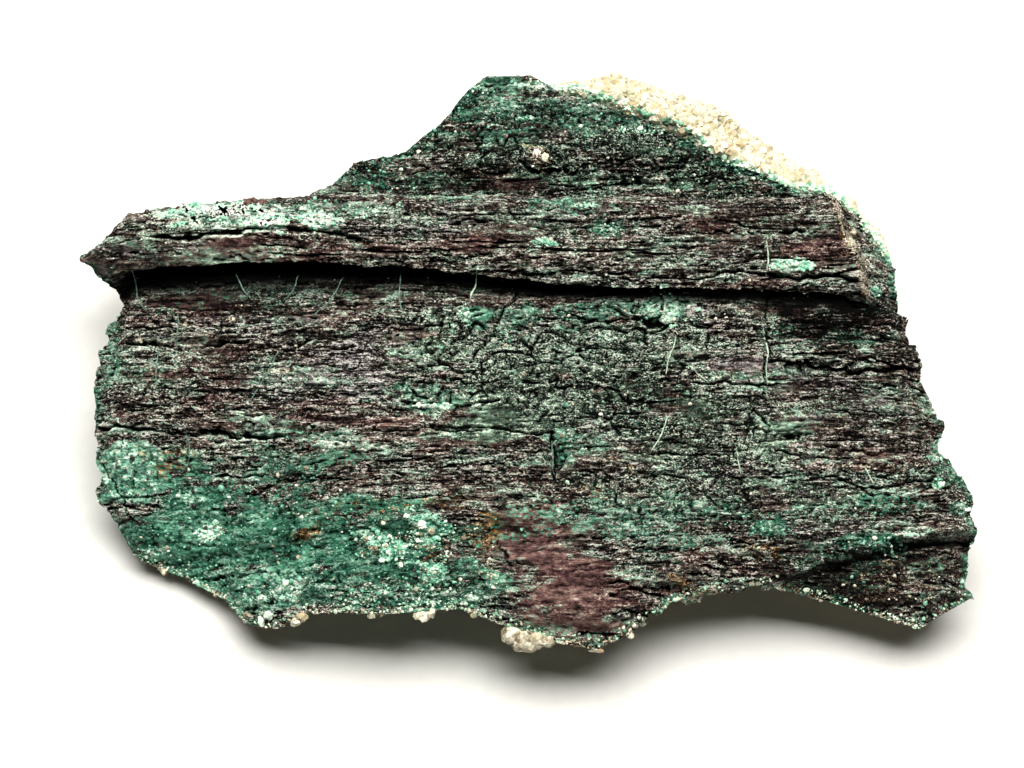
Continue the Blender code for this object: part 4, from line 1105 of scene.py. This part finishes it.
def make_sand(points, v, w, near_rim, rock, finish, finishes):
    """Grains on the sandstone's shelf, walls and underside, lumps and grains on the near rim, the cream
    lump under the near lobe, grains that malachite stains beside the wood, and crystals in clusters at
    the shelf's left end. A lump lies where the near edge passes its x, moved out and down by its own
    numbers. The stained grains are thickest where y is next to the shelf's inner line."""
    rng = np.random.default_rng(7)
    x, y, _ = points.T
    regions = (("shelf_grains", (w > 0.75) & (v > SHELF_START) & (x > 2), SHELF_GRAINS),
               ("wall_grains", (w < WALL_TOP) & (w > 0), WALL_GRAINS),
               ("underside_grains", w == 0, UNDERSIDE_GRAINS))
    for seed, (name, region, (count, size, lift)) in enumerate(regions, 12):
        chosen = pick(region.astype(float), min(count, int(region.sum())), rng)
        sizes = size * rng.uniform(0.45, 1.35, len(chosen))
        seats = points[chosen] + np.array((0, 0, lift))
        scatter(name, seats, sizes, ball(*GRAIN_GRID), finish, seed, lumpiness=0.25)

    edge = near_rim[:, 0]
    for name, table, shape, squash, lumpiness, angle, look in (
            ("rim_lumps", RIM_LUMPS, ball(9, 6), (0.55, 1.2), 0.3, 30, finish),
            ("cream_lump", CREAM_LUMP, ball(16, 11), (0.75, 1.1), 0.10, 40, rock)):
        lump_x, out, size = np.array(table).T
        seats = np.column_stack([np.interp(lump_x, edge[:, 0], edge[:, axis]) for axis in range(3)])
        seats = seats - np.column_stack((0 * out, out, 0.65 * size + 0.3 * out))
        scatter(name, seats, size, shape, look, 15, squash, lumpiness, angle)
    for name, count, kind, (first, last), sinks in RIM_GRAINS:
        deep = rng.uniform(0.05, 1.0, count) * sinks
        seats = near_rim[rng.integers(3, len(near_rim) - 3, count), rng.integers(first, last, count)]
        seats = seats - np.column_stack((0 * deep, -0.6 * deep, deep))
        sizes = RIM_GRAIN_SIZE * np.exp(rng.normal(0, 0.45, count).clip(-1, 1.1))
        scatter(name, seats, sizes, ball(*GRAIN_GRID), finishes[kind], 16 + count,
                lumpiness=0.25)

    beside_wood = 1 - smooth(np.abs(y - along(SHELF_INNER, x) - 1.2), 0.3, 2.2)
    margin = (w > 0.9) & (v > SHELF_START) & (x > -8)
    margin = margin * smooth(x, -8, 8) * beside_wood + 1e-6
    count, size, lift = STAINED_GRAINS
    chosen = pick(margin, count, rng)
    sizes = size * rng.uniform(0.5, 1.4, count)
    scatter("stained_grains", points[chosen] + (0, 0, lift), sizes, ball(*GRAIN_GRID),
            finishes["stained"], 18, lumpiness=0.25)

    crystals = np.array(CRYSTALS).repeat(CRYSTALS_IN_A_CLUSTER, axis=0)
    places = rng.uniform(-1, 1, (len(crystals), 2)) * 0.9 + crystals[:, :2]
    seats = seats_near(points, places) + (0, 0, 1.0)
    scatter("shelf_crystals", seats, crystals[:, 2], ball(6, 3), finish, 17,
            squash=(0.3, 1.0), lumpiness=0.08)


def make_crumbs(slab, finishes):
    """Crumbs of the crusts and of dark ore, each kind picked with weights from the amounts of its own
    crust and of those that it lies among, and the lumps that are seen one by one."""
    rng = np.random.default_rng(8)
    points, colours, _ = slab
    malachite, mint, film, cream = (colours[kind] for kind in ("malachite", "mint", "film", "cream"))
    weights = {
        "mint": mint ** 1.5 + 0.02 * malachite + 1e-5,
        "green": malachite ** 1.5 + 0.03 * film + 1e-5,
        "cream": cream + 0.12 * malachite ** 2 + 0.04 * film + 0.2 * mint ** 2 + 1e-5,
        "dark": malachite + 0.6 * film + 0.2,
    }
    for seed, (name, kind, count, size) in enumerate(CRUST_CRUMBS, 21):
        chosen = pick(weights[kind], count, rng)
        sizes = size * np.exp(rng.normal(-0.2, 0.42, count).clip(-1.1, 0.9))
        scatter(name, points[chosen], sizes, ball(*GRAIN_GRID), finishes[kind], seed,
                smooth_angle=60)
    for seed, kind in enumerate(("cream", "mint", "green", "red"), 31):
        lumps = np.array([lump[:3] for lump in LUMPS if lump[3] == kind])
        seats = seats_near(points, lumps[:, :2]) + (0, 0, 0.15)
        scatter(kind + "_lumps", seats, lumps[:, 2], ball(9, 7), finishes[kind], seed,
                squash=(0.45, 1.1), lumpiness=0.32, smooth_angle=35)


def tube(path, radius, around):
    """A tube along a path: its two end points, and between them rings square to the path, of a
    radius that noise swells and thins and that the root of a half sine draws in at the ends."""
    forward = np.gradient(path, axis=0)
    forward /= np.linalg.norm(forward, axis=1, keepdims=True)
    side = np.cross(forward, (0, 0, 1))
    side /= np.linalg.norm(side, axis=1, keepdims=True)
    up = np.cross(forward, side)
    angle = np.arange(around) * 2 * np.pi / around
    swell = radius * (1 + 0.5 * fine(path[:, 0] * 3, path[:, 1] * 3, 1, 1, 9))
    swell *= np.sin(np.pi * np.linspace(0, 1, len(path))) ** 0.4
    ring = side[:, None] * np.cos(angle)[None, :, None] + up[:, None] * np.sin(angle)[None, :, None]
    rings = (path[:, None] + ring * swell[:, None, None])[1:-1].reshape(-1, 3)
    return np.vstack((path[:1], rings, path[-1:])), closed_rings(len(path) - 2, around)


def make_veinlets(slab, finishes):
    """Thin veinlets over the face: each follows its points, shaken by noise, and keeps just above the
    greater of the surface's height and that height blurred."""
    tops = slab[0]
    for kind in ("cream", "green"):
        bodies, faces, count = [], [], 0
        for line, radius, colour in VEINLETS:
            if colour != kind:
                continue
            share = np.linspace(0, len(line) - 1, VEINLET_RINGS)
            x, y = (np.interp(share, np.arange(len(line)), places) for places in zip(*line))
            x = x + VEINLET_SHAKE * fine(y, x, 1.2, 5, 60 + len(bodies))
            ground = seats_near(tops, np.column_stack((x, y)))[:, 2]
            ground = np.maximum(ground, blurred(ground[:, None], 6)[:, 0]) + 0.6 * radius
            body, body_faces = tube(np.column_stack((x, y, ground)), radius, VEINLET_CORNERS)
            bodies.append(body)
            faces.append(body_faces + count)
            count += len(body)
        tone = np.full(count, 0.9 if kind == "cream" else 0.4)
        add_piece(kind + "_veinlets", keep_in_box(np.concatenate(bodies)), np.concatenate(faces),
                  {"tone": tone}, finishes["vein"], smooth_angle=60)


# ---------------------------------------------------------------------------------------------
# Finishes


def hex_colour(code, alpha=1.0):
    """An sRGB hex colour as linear red, green, blue and alpha."""
    channels = [int(code[i:i + 2], 16) / 255 for i in (1, 3, 5)]
    return [c / 12.92 if c <= 0.04045 else ((c + 0.055) / 1.055) ** 2.4 for c in channels] + [alpha]


def add_node(tree, kind, inputs=None, output=0, stops=(), **settings):
    """Add one node: its settings, its inputs as values or as other nodes' outputs, and the stops of a
    colour ramp. It gives the output that is read, or the node where output is None."""
    node = tree.nodes.new("ShaderNode" + kind)
    for name, value in settings.items():
        setattr(node, name, value)
    for name, value in (inputs or {}).items():
        if isinstance(value, bpy.types.NodeSocket):
            tree.links.new(value, node.inputs[name])
        else:
            node.inputs[name].default_value = value
    for number, (place, code) in enumerate(stops):
        elements = node.color_ramp.elements
        element = elements[number] if number < 2 else elements.new(place)
        element.position = place
        element.color = hex_colour(code)
    return node if output is None else node.outputs[output]


def new_finish(name, **values):
    """An empty finish: its node tree and its shader, with the given values on the shader's sockets."""
    finish = bpy.data.materials.new(name)
    finish.use_nodes = True
    shader = finish.node_tree.nodes["Principled BSDF"]
    for key, value in values.items():
        shader.inputs[key.replace("_", " ")].default_value = value
    return finish, finish.node_tree, shader


def speckle(tree, length, width, height, detail=3.0, roughness=0.6):
    """Noise in the piece's own place whose lumps are so many millimetres long, wide and high."""
    place = add_node(tree, "TexCoord", output="Object")
    scale = (1 / (length * MM), 1 / (width * MM), 1 / (height * MM))
    scaled = add_node(tree, "Mapping", {"Vector": place, "Scale": scale})
    return add_node(tree, "TexNoise",
                    {"Vector": scaled, "Scale": 1.0, "Detail": detail, "Roughness": roughness})


def mosaic(tree, length, width, height, bend):
    """Cells so many millimetres long, wide and high, with edges that noise bends by so many
    millimetres. Each cell has three random numbers of its own, from 0 to 1."""
    place = add_node(tree, "TexCoord", output="Object")
    wave = add_node(tree, "TexNoise", {"Vector": place, "Scale": 1 / (0.7 * MM), "Detail": 2.0},
                    output="Color")
    shift = (2 * bend * MM,) * 3
    moved = add_node(tree, "VectorMath", {0: wave, 1: shift, 2: place}, operation="MULTIPLY_ADD")
    scale = (1 / (length * MM), 1 / (width * MM), 1 / (height * MM))
    scaled = add_node(tree, "Mapping", {"Vector": moved, "Scale": scale})
    cells = add_node(tree, "TexVoronoi", {"Vector": scaled, "Scale": 1.0}, output="Color")
    return add_node(tree, "SeparateColor", {"Color": cells}, output=None).outputs


def shaken(tree, base, patterns):
    """A value moved by patterns: base plus, for each, its distance from one half times its weight."""
    middle = -0.5 * sum(weight for _, weight in patterns)
    total = add_node(tree, "Math", {0: base, 1: middle}, operation="ADD")
    for pattern, weight in patterns:
        total = add_node(tree, "Math", {0: pattern, 1: weight, 2: total}, operation="MULTIPLY_ADD")
    return total


def crust(tree, below, above, name, patterns, low=0.40, high=0.56, ground=0.0):
    """One colour laid over another where the piece's own amount of that name, raised to at least the
    ground's and shaken by patterns, passes from low to high. It gives the colour and the share."""
    own = add_node(tree, "Attribute", output="Fac", attribute_name=name)
    raised = add_node(tree, "Math", {0: own, 1: ground}, operation="MAXIMUM")
    share = add_node(tree, "MapRange",
                     {"Value": shaken(tree, raised, patterns), "From Min": low, "From Max": high},
                     interpolation_type="SMOOTHSTEP")
    return add_node(tree, "Mix", {0: share, 6: below, 7: above}, output=2, data_type="RGBA"), share


def chalcocite_wood():
    """Split fossil wood. Chalcocite breaks dark grey with a dull metallic glint along the fibres, and
    red-brown cuprite, a grey-green film, matt malachite, limonite and cream clay lie on it grain by
    grain, so no two neighbouring grains have one colour. Painted shade darkens its hollows, its cracks
    and the ground under the lips, and a painted sheen of pale pinkish grey lies where flat ore shines."""
    finish, tree, shader = new_finish("split_chalcocite_wood", Specular_IOR_Level=0.06)
    # A cell of the wood is 0.03 mm wide and a grain of its crusts 0.05 mm, too fine to show, so the
    # finest of these patterns are drawn 0.2 to 0.5 mm wide. The longer ones follow the fibres.
    strand = speckle(tree, 12.0, 0.36, 0.36, 3.0, 0.6)
    fibre = speckle(tree, 2.2, 0.42, 0.42, 5.0, 0.75)
    thread = speckle(tree, 0.55, 0.30, 0.30, 3.0, 0.7)
    crumb = speckle(tree, 0.60, 0.45, 0.45, 5.0, 0.8)
    dust = speckle(tree, 0.26, 0.22, 0.22, 2.0, 0.6)
    fleck = speckle(tree, 2.4, 1.0, 1.0, 5.0, 0.75)
    broad = speckle(tree, 9.0, 3.0, 3.0, 3.0, 0.6)
    drift = speckle(tree, 14.0, 4.5, 4.5, 3.0, 0.6)
    gap = speckle(tree, 2.0, 0.40, 0.40, 3.0, 0.6)
    hole = speckle(tree, 0.70, 0.48, 0.48, 3.0, 0.6)
    calm = speckle(tree, 11.0, 4.0, 4.0, 2.0, 0.5)
    chip = mosaic(tree, 0.90, 0.40, 0.40, 0.25)
    grit = mosaic(tree, 0.30, 0.26, 0.26, 0.10)
    hollow = add_node(tree, "Attribute", output="Fac", attribute_name="hollow")
    tone = add_node(tree, "Attribute", output="Fac", attribute_name="tone")

    # Painted light and shade: darker in the hollows and paler on the ridges, lighter or darker by the
    # ground's tone, which also holds painted shade along the rib's foot, and mottled by noise.
    lit = add_node(tree, "Math", {0: hollow, 1: -0.30, 2: 0.50}, operation="MULTIPLY_ADD")
    lit = add_node(tree, "Math", {0: lit, 1: tone}, operation="ADD")
    lit = shaken(tree, lit, ((fleck, 1.5), (broad, 0.8)))
    split = shaken(tree, lit, ((strand, 2.0), (fibre, 2.0), (thread, 1.8), (dust, 1.8), (chip[0], 0.25),
                               (grit[0], 0.44)))
    crumbly = shaken(tree, lit, ((dust, 3.4), (crumb, 1.4), (fibre, 1.1), (chip[0], 0.28),
                                 (grit[0], 0.68)))
    silky = shaken(tree, lit, ((crumb, 1.5), (grit[0], 0.26), (chip[0], 0.22)))
    milky = shaken(tree, lit, ((crumb, 1.6), (grit[0], 0.30), (dust, 0.8)))

    even = add_node(tree, "Attribute", output="Fac", attribute_name="even")
    mixed = add_node(tree, "MapRange",
                     {"Value": even, "From Min": 0.80, "From Max": 1.10, "To Min": 1.0, "To Max": 0.2})
    calm = add_node(tree, "MapRange", {"Value": calm, "From Min": 0.46, "From Max": 0.64, "To Max": 0.55})
    even = add_node(tree, "Math", {0: even, 1: 0.60, 2: calm}, operation="MULTIPLY_ADD", use_clamp=True)
    split = add_node(tree, "Mix", {0: even, 2: split, 3: lit}, data_type="FLOAT")
    crumbly = add_node(tree, "Mix", {0: even, 2: crumbly, 3: lit}, data_type="FLOAT")
    silky = add_node(tree, "Mix", {0: even, 2: silky, 3: lit}, data_type="FLOAT")

    def least(amount):
        """The least amount of a crust on mixed ground: the amount times how mixed it is."""
        return add_node(tree, "Math", {0: mixed, 1: amount}, operation="MULTIPLY")

    def ramp(value, codes):
        """A value's colour, from the darkest code to the lightest."""
        places = (0.02, 0.20, 0.36, 0.50, 0.64, 0.79, 0.94)
        return add_node(tree, "ValToRGB", {"Fac": value}, stops=tuple(zip(places, codes)))

    # Each colour from black to nearly white, as painted shade and glints, because every grain of it
    # catches the light differently.
    wood = ramp(split, ("#020202", "#120D0C", "#332A27", "#544842", "#7A7066", "#ABA69B", "#F0F0E4"))
    grey = ramp(split, ("#020302", "#0E120F", "#2A302A", "#4C544B", "#758073", "#AAB5A3", "#ECF5E5"))
    # Painted sheen: pale pinkish grey for the shine of flat ore.
    painted_sheen = ramp(split, ("#060505", "#231E1F", "#504847", "#796F70", "#9E9694", "#CBC6C1", "#FBF8F3"))
    cuprite = ramp(split, ("#040202", "#1A0F0F", "#3C2828", "#5E4542", "#82685F", "#B3A096", "#EFE7DD"))
    film = ramp(crumbly, ("#020302", "#0F1612", "#2B382E", "#4D5E50", "#778A78", "#ADBFA9", "#F0F9E8"))
    green = ramp(silky, ("#020906", "#0F2F23", "#235340", "#3F765F", "#65967F", "#99C3AB", "#E4F6E4"))
    pale = ramp(milky, ("#1C5240", "#3F8E71", "#74BA9C", "#A6DABF", "#CDEBD6", "#ECF8E6", "#FFFFFA"))
    rust = ramp(crumbly, ("#0A0603", "#2C1A0C", "#583A1E", "#825A32", "#A98452", "#D0B588", "#F6EBD0"))
    clay = ramp(crumbly, ("#2A2218", "#75674F", "#A89A7C", "#CDC2A4", "#E4DDC6", "#F4F0E2", "#FFFFFC"))

    colour, _ = crust(tree, wood, grey, "film",
                      ((fleck, 1.6), (broad, 2.0), (chip[1], 0.4)), ground=least(0.45))
    # The painted sheen, where the ore is also a little less rough.
    colour, glint = crust(tree, colour, painted_sheen, "painted_sheen",
                          ((fibre, 1.6), (drift, 1.4), (chip[2], 0.4)), ground=least(0.12))
    colour, _ = crust(tree, colour, cuprite, "cuprite",
                      ((fleck, 1.6), (drift, -2.2), (grit[1], 0.4)), ground=least(0.26))
    colour, filmed = crust(tree, colour, film, "film",
                           ((fleck, 1.6), (broad, 1.4), (grit[2], 0.5)), ground=least(0.20))
    colour, covered = crust(tree, colour, green, "malachite",
                            ((fleck, 1.6), (crumb, 0.8), (broad, 1.2), (grit[1], 0.5)), ground=least(0.16))
    colour, _ = crust(tree, colour, rust, "ochre",
                      ((crumb, 1.6), (chip[2], 0.5)), 0.50, 0.62, ground=least(0.08))
    colour, _ = crust(tree, colour, clay, "cream",
                      ((crumb, 1.2), (grit[2], 0.6)), 0.50, 0.60, ground=least(0.12))
    colour, bright = crust(tree, colour, pale, "mint",
                           ((fleck, 1.0), (crumb, 1.4), (grit[0], 0.4)), 0.46, 0.60)

    # Painted shade: black gaps between the fibres and crumbs, fewer on even and covered ground, and the
    # shade of every hollow, which pale malachite fills.
    rough = add_node(tree, "Math", {0: even, 1: -1.2, 2: 0.98}, operation="MULTIPLY_ADD")
    rough = add_node(tree, "Math", {0: covered, 1: -0.45, 2: rough}, operation="MULTIPLY_ADD")
    dashes = add_node(tree, "MapRange", {"Value": gap, "From Min": 0.55, "From Max": 0.60},
                      interpolation_type="SMOOTHSTEP")
    hole = add_node(tree, "Math", {0: filmed, 1: 0.03, 2: hole}, operation="MULTIPLY_ADD")
    holes = add_node(tree, "MapRange", {"Value": hole, "From Min": 0.585, "From Max": 0.635},
                     interpolation_type="SMOOTHSTEP")
    gaps = add_node(tree, "Math", {0: dashes, 1: holes}, operation="MAXIMUM")
    gaps = add_node(tree, "Math", {0: gaps, 1: rough}, operation="MULTIPLY")
    pitted = shaken(tree, hollow, ((broad, -0.3),))
    deep = add_node(tree, "MapRange", {"Value": pitted, "From Min": 0.12, "From Max": 0.60, "To Max": 0.97},
                    interpolation_type="SMOOTHSTEP")
    deep = add_node(tree, "Math", {0: deep, 1: gaps}, operation="MAXIMUM")
    kept = add_node(tree, "Math", {0: bright, 1: -0.9, 2: 1.0}, operation="MULTIPLY_ADD")
    deep = add_node(tree, "Math", {0: deep, 1: kept}, operation="MULTIPLY")
    # Painted shade under the rib's lip and under the near right layer's lip, as black as the gaps.
    dark = add_node(tree, "Attribute", output="Fac", attribute_name="dark")
    deep = add_node(tree, "Math", {0: deep, 1: dark}, operation="MAXIMUM")
    colour = add_node(tree, "Mix", {0: deep, 6: colour, 7: hex_colour("#040504")}, output=2,
                      data_type="RGBA")
    tree.links.new(colour, shader.inputs["Base Color"])

    # Bare ore is a dull metal. Crusts are matt and have no metal in them.
    matt = add_node(tree, "Math", {0: covered, 1: filmed}, operation="MAXIMUM")
    dull = add_node(tree, "Math", {0: matt, 1: 0.30, 2: 0.46}, operation="MULTIPLY_ADD")
    dull = add_node(tree, "Math", {0: glint, 1: -0.10, 2: dull}, operation="MULTIPLY_ADD")
    dull = add_node(tree, "Math", {0: deep, 1: 0.35, 2: dull}, operation="MULTIPLY_ADD")
    tree.links.new(dull, shader.inputs["Roughness"])
    metal = add_node(tree, "Math", {0: matt, 1: -0.25, 2: 0.25}, operation="MULTIPLY_ADD")
    tree.links.new(metal, shader.inputs["Metallic"])
    height = add_node(tree, "Mix", {0: matt, 2: split, 3: crumbly}, data_type="FLOAT")
    bump = add_node(tree, "Bump", {"Height": height, "Strength": 1.0, "Distance": 0.24 * MM},
                    output="Normal")
    tree.links.new(bump, shader.inputs["Normal"])
    return finish


def quartz_sandstone():
    """Coarse quartz sandstone, broken between its grains: cream, tan and stained green, with dark
    gaps of painted shade where a grain has come out."""
    finish, tree, shader = new_finish("broken_quartz_sandstone", Roughness=0.6, IOR=1.54)
    # A grain of this coarse sand is 0.9 mm across.
    sand = speckle(tree, 0.9, 0.9, 0.9, 4.0, 0.7)
    grit = mosaic(tree, 0.9, 0.9, 0.9, 0.2)
    value = shaken(tree, 0.46, ((sand, 1.6), (grit[0], 0.5)))
    # The darkest stops of both ramps are painted shade in the gaps between grains.
    places = (0.05, 0.25, 0.45, 0.65, 0.85)
    cream = add_node(tree, "ValToRGB", {"Fac": value},
                     stops=tuple(zip(places, ("#3A3426", "#857860", "#B3A88C", "#D3CBB2", "#EFEADB"))))
    green = add_node(tree, "ValToRGB", {"Fac": value},
                     stops=tuple(zip(places, ("#0E2E20", "#3C7A5F", "#7DB598", "#B9DFC6", "#E8F8EA"))))
    colour, _ = crust(tree, cream, green, "malachite", ((sand, 2.0), (grit[1], 0.5)), 0.42, 0.55)
    tree.links.new(colour, shader.inputs["Base Color"])
    bump = add_node(tree, "Bump", {"Height": value, "Strength": 0.8, "Distance": 0.3 * MM}, output="Normal")
    tree.links.new(bump, shader.inputs["Normal"])
    return finish


def quartz_grain():
    """Rounded quartz sand and small crystals: each grain glassy, from clear grey to honey, with a
    veil of flaws inside it."""
    finish, tree, shader = new_finish("glassy_quartz_grain", Roughness=0.35, IOR=1.54)
    tone = add_node(tree, "Attribute", output="Fac", attribute_name="tone")
    stops = ((0.0, "#9EA88C"), (0.12, "#C4AC80"), (0.30, "#CEC6A8"), (0.55, "#D8D2B8"), (0.8, "#E8E4D0"),
             (0.93, "#B8B8A6"), (1.0, "#D6B48A"))
    colour = add_node(tree, "ValToRGB", {"Fac": tone}, stops=stops)
    # The flaws in a grain are half as long as the grain.
    veil = speckle(tree, 0.5, 0.5, 0.5, 3.0, 0.7)
    share = add_node(tree, "MapRange", {"Value": veil, "From Min": 0.44, "From Max": 0.66},
                     interpolation_type="SMOOTHSTEP")
    colour = add_node(tree, "Mix", {0: share, 6: colour, 7: hex_colour("#A89F86")}, output=2,
                      data_type="RGBA")
    tree.links.new(colour, shader.inputs["Base Color"])
    return finish


def crumb_finish(name, codes, roughness, ior):
    """A crumb's finish: a colour picked for each crumb along a ramp, mottled by a fine powder."""
    finish, tree, shader = new_finish(name, Roughness=roughness, IOR=ior)
    tone = add_node(tree, "Attribute", output="Fac", attribute_name="tone")
    # Powder is far too fine to show, so it is drawn 0.35 mm coarse.
    powder = speckle(tree, 0.35, 0.35, 0.35, 3.0, 0.7)
    value = shaken(tree, tone, ((powder, 1.6),))
    stops = tuple(zip(np.linspace(0.0, 1.0, len(codes)), codes))
    tree.links.new(add_node(tree, "ValToRGB", {"Fac": value}, stops=stops), shader.inputs["Base Color"])
    return finish


def crumb_finishes():
    """The finishes of crumbs, lumps and veinlets: finish name, roughness, IOR and its ramp's colours."""
    kinds = {
        # Powder scatters the light, so it is pale and matt.
        "mint": ("powdery_pale_malachite", 0.75, 1.65, ("#4E9E80", "#8CC9A9", "#BFE3C8", "#EAF4E0")),
        # Rounded crusts of fine needles, dark green with a silky shine on their sides.
        "green": ("silky_botryoidal_malachite", 0.55, 1.65, ("#06281D", "#1D5643", "#3D7F67", "#7DB79B")),
        # Fine clay, quite matt and nearly white where it is thick.
        "cream": ("powdery_cream_clay", 0.85, 1.5, ("#6E6653", "#A39C86", "#CFC8B0", "#F4F0E0")),
        # Fresh breaks of the ore, black between pale crumbs, some with a dull glint.
        "dark": ("broken_dark_chalcocite", 0.45, 1.5, ("#030303", "#14110F", "#332C28", "#685F57")),
        # Sand grains with dirt in their pits, tan and half matt.
        "weathered": ("weathered_quartz", 0.6, 1.54, ("#5A5342", "#8F866E", "#BDB49B", "#E2DCC8")),
        # Glassy grains under a thin pale green skin.
        "stained": ("malachite_stained_quartz", 0.45, 1.54, ("#4F8F72", "#93C2A2", "#CFE2C8", "#F1F4E4")),
        # A crack filled flush with malachite and clay, a soft dull green.
        "vein": ("dull_malachite_vein", 0.7, 1.65, ("#1C3A2E", "#40685A", "#7E9C88", "#B9CDB8")),
        # Cuprite as brown-red earth, matt and dark.
        "red": ("earthy_red_cuprite", 0.7, 1.5, ("#140908", "#2F1915", "#4B2B25", "#6E4D42")),
    }
    return {kind: crumb_finish(name, codes, roughness, ior)
            for kind, (name, roughness, ior, codes) in kinds.items()}


# ---------------------------------------------------------------------------------------------
# The floor, the light and the camera. Places and sizes here are in metres, the camera's rise over the
# floor in degrees, and its focal length in millimetres.
TARGET = Vector((-0.0015, -0.0067, 0.014))
CAMERA_RISE = 70.0
CAMERA_DISTANCE = 0.3629
FOCAL_LENGTH = 85.0
CLIP_START = 0.01
TABLE_SIZE = 3.0
WINDOW_PLACE = Vector((0.03, 0.250, 0.728))
WINDOW_WIDTH, WINDOW_HEIGHT = 0.80, 0.42
WINDOW_WATTS = 15.8
WINDOW_COLOUR = (1.0, 0.98, 0.93)
ROOM_COLOUR, ROOM_STRENGTH = (1, 0.97, 0.86, 1), 0.04


def make_floor():
    """A plain pale table of painted board: quite matt, with faint cloudy marks."""
    finish, tree, shader = new_finish("white_table", Roughness=0.9)
    # The marks in the paint are 2 mm across.
    marks = speckle(tree, 2.0, 2.0, 2.0, 3.0, 0.5)
    tone = add_node(tree, "ValToRGB", {"Fac": marks}, stops=((0.3, "#CFCFCC"), (0.7, "#D3D3D1")))
    tree.links.new(tone, shader.inputs["Base Color"])
    bpy.ops.mesh.primitive_plane_add(size=TABLE_SIZE)
    floor = bpy.context.object
    floor.name = "table"
    floor.data.materials.append(finish)


def make_window():
    """A high window behind the stone: a soft rectangle of light that faces the origin."""
    light = bpy.data.lights.new("high_window", "AREA")
    light.shape = "RECTANGLE"
    light.size = WINDOW_WIDTH
    light.size_y = WINDOW_HEIGHT
    light.energy = WINDOW_WATTS
    light.color = WINDOW_COLOUR
    lamp = bpy.data.objects.new("high_window", light)
    lamp.location = WINDOW_PLACE
    lamp.rotation_euler = WINDOW_PLACE.to_track_quat("Z", "Y").to_euler()
    bpy.context.scene.collection.objects.link(lamp)


def make_camera():
    """The camera, at its distance from the target and its rise over the floor, looking at the target."""
    camera = bpy.data.objects.new("camera", bpy.data.cameras.new("camera"))
    camera.data.lens = FOCAL_LENGTH
    camera.data.clip_start = CLIP_START
    rise = math.radians(CAMERA_RISE)
    back = Vector((0, -math.cos(rise), math.sin(rise)))
    camera.location = TARGET + back * CAMERA_DISTANCE
    camera.rotation_euler = back.to_track_quat("Z", "Y").to_euler()
    bpy.context.scene.collection.objects.link(camera)
    bpy.context.scene.camera = camera


def make_surroundings():
    """The table, a window high behind the stone, and the weak light of the room."""
    make_floor()
    make_window()
    world = bpy.data.worlds.new("room")
    world.use_nodes = True
    world.node_tree.nodes["Background"].inputs["Color"].default_value = ROOM_COLOUR
    world.node_tree.nodes["Background"].inputs["Strength"].default_value = ROOM_STRENGTH
    bpy.context.scene.world = world
    bpy.context.scene.view_settings.view_transform = "Standard"
    make_camera()


def main():
    """Make every piece, then the surroundings."""
    slab = make_slab(chalcocite_wood())
    rock = quartz_sandstone()
    sandstone = make_sandstone(rock)
    finishes = crumb_finishes()
    make_sand(*sandstone, slab[2], rock, quartz_grain(), finishes)
    make_crumbs(slab, finishes)
    make_veinlets(slab, finishes)
    make_surroundings()


main()
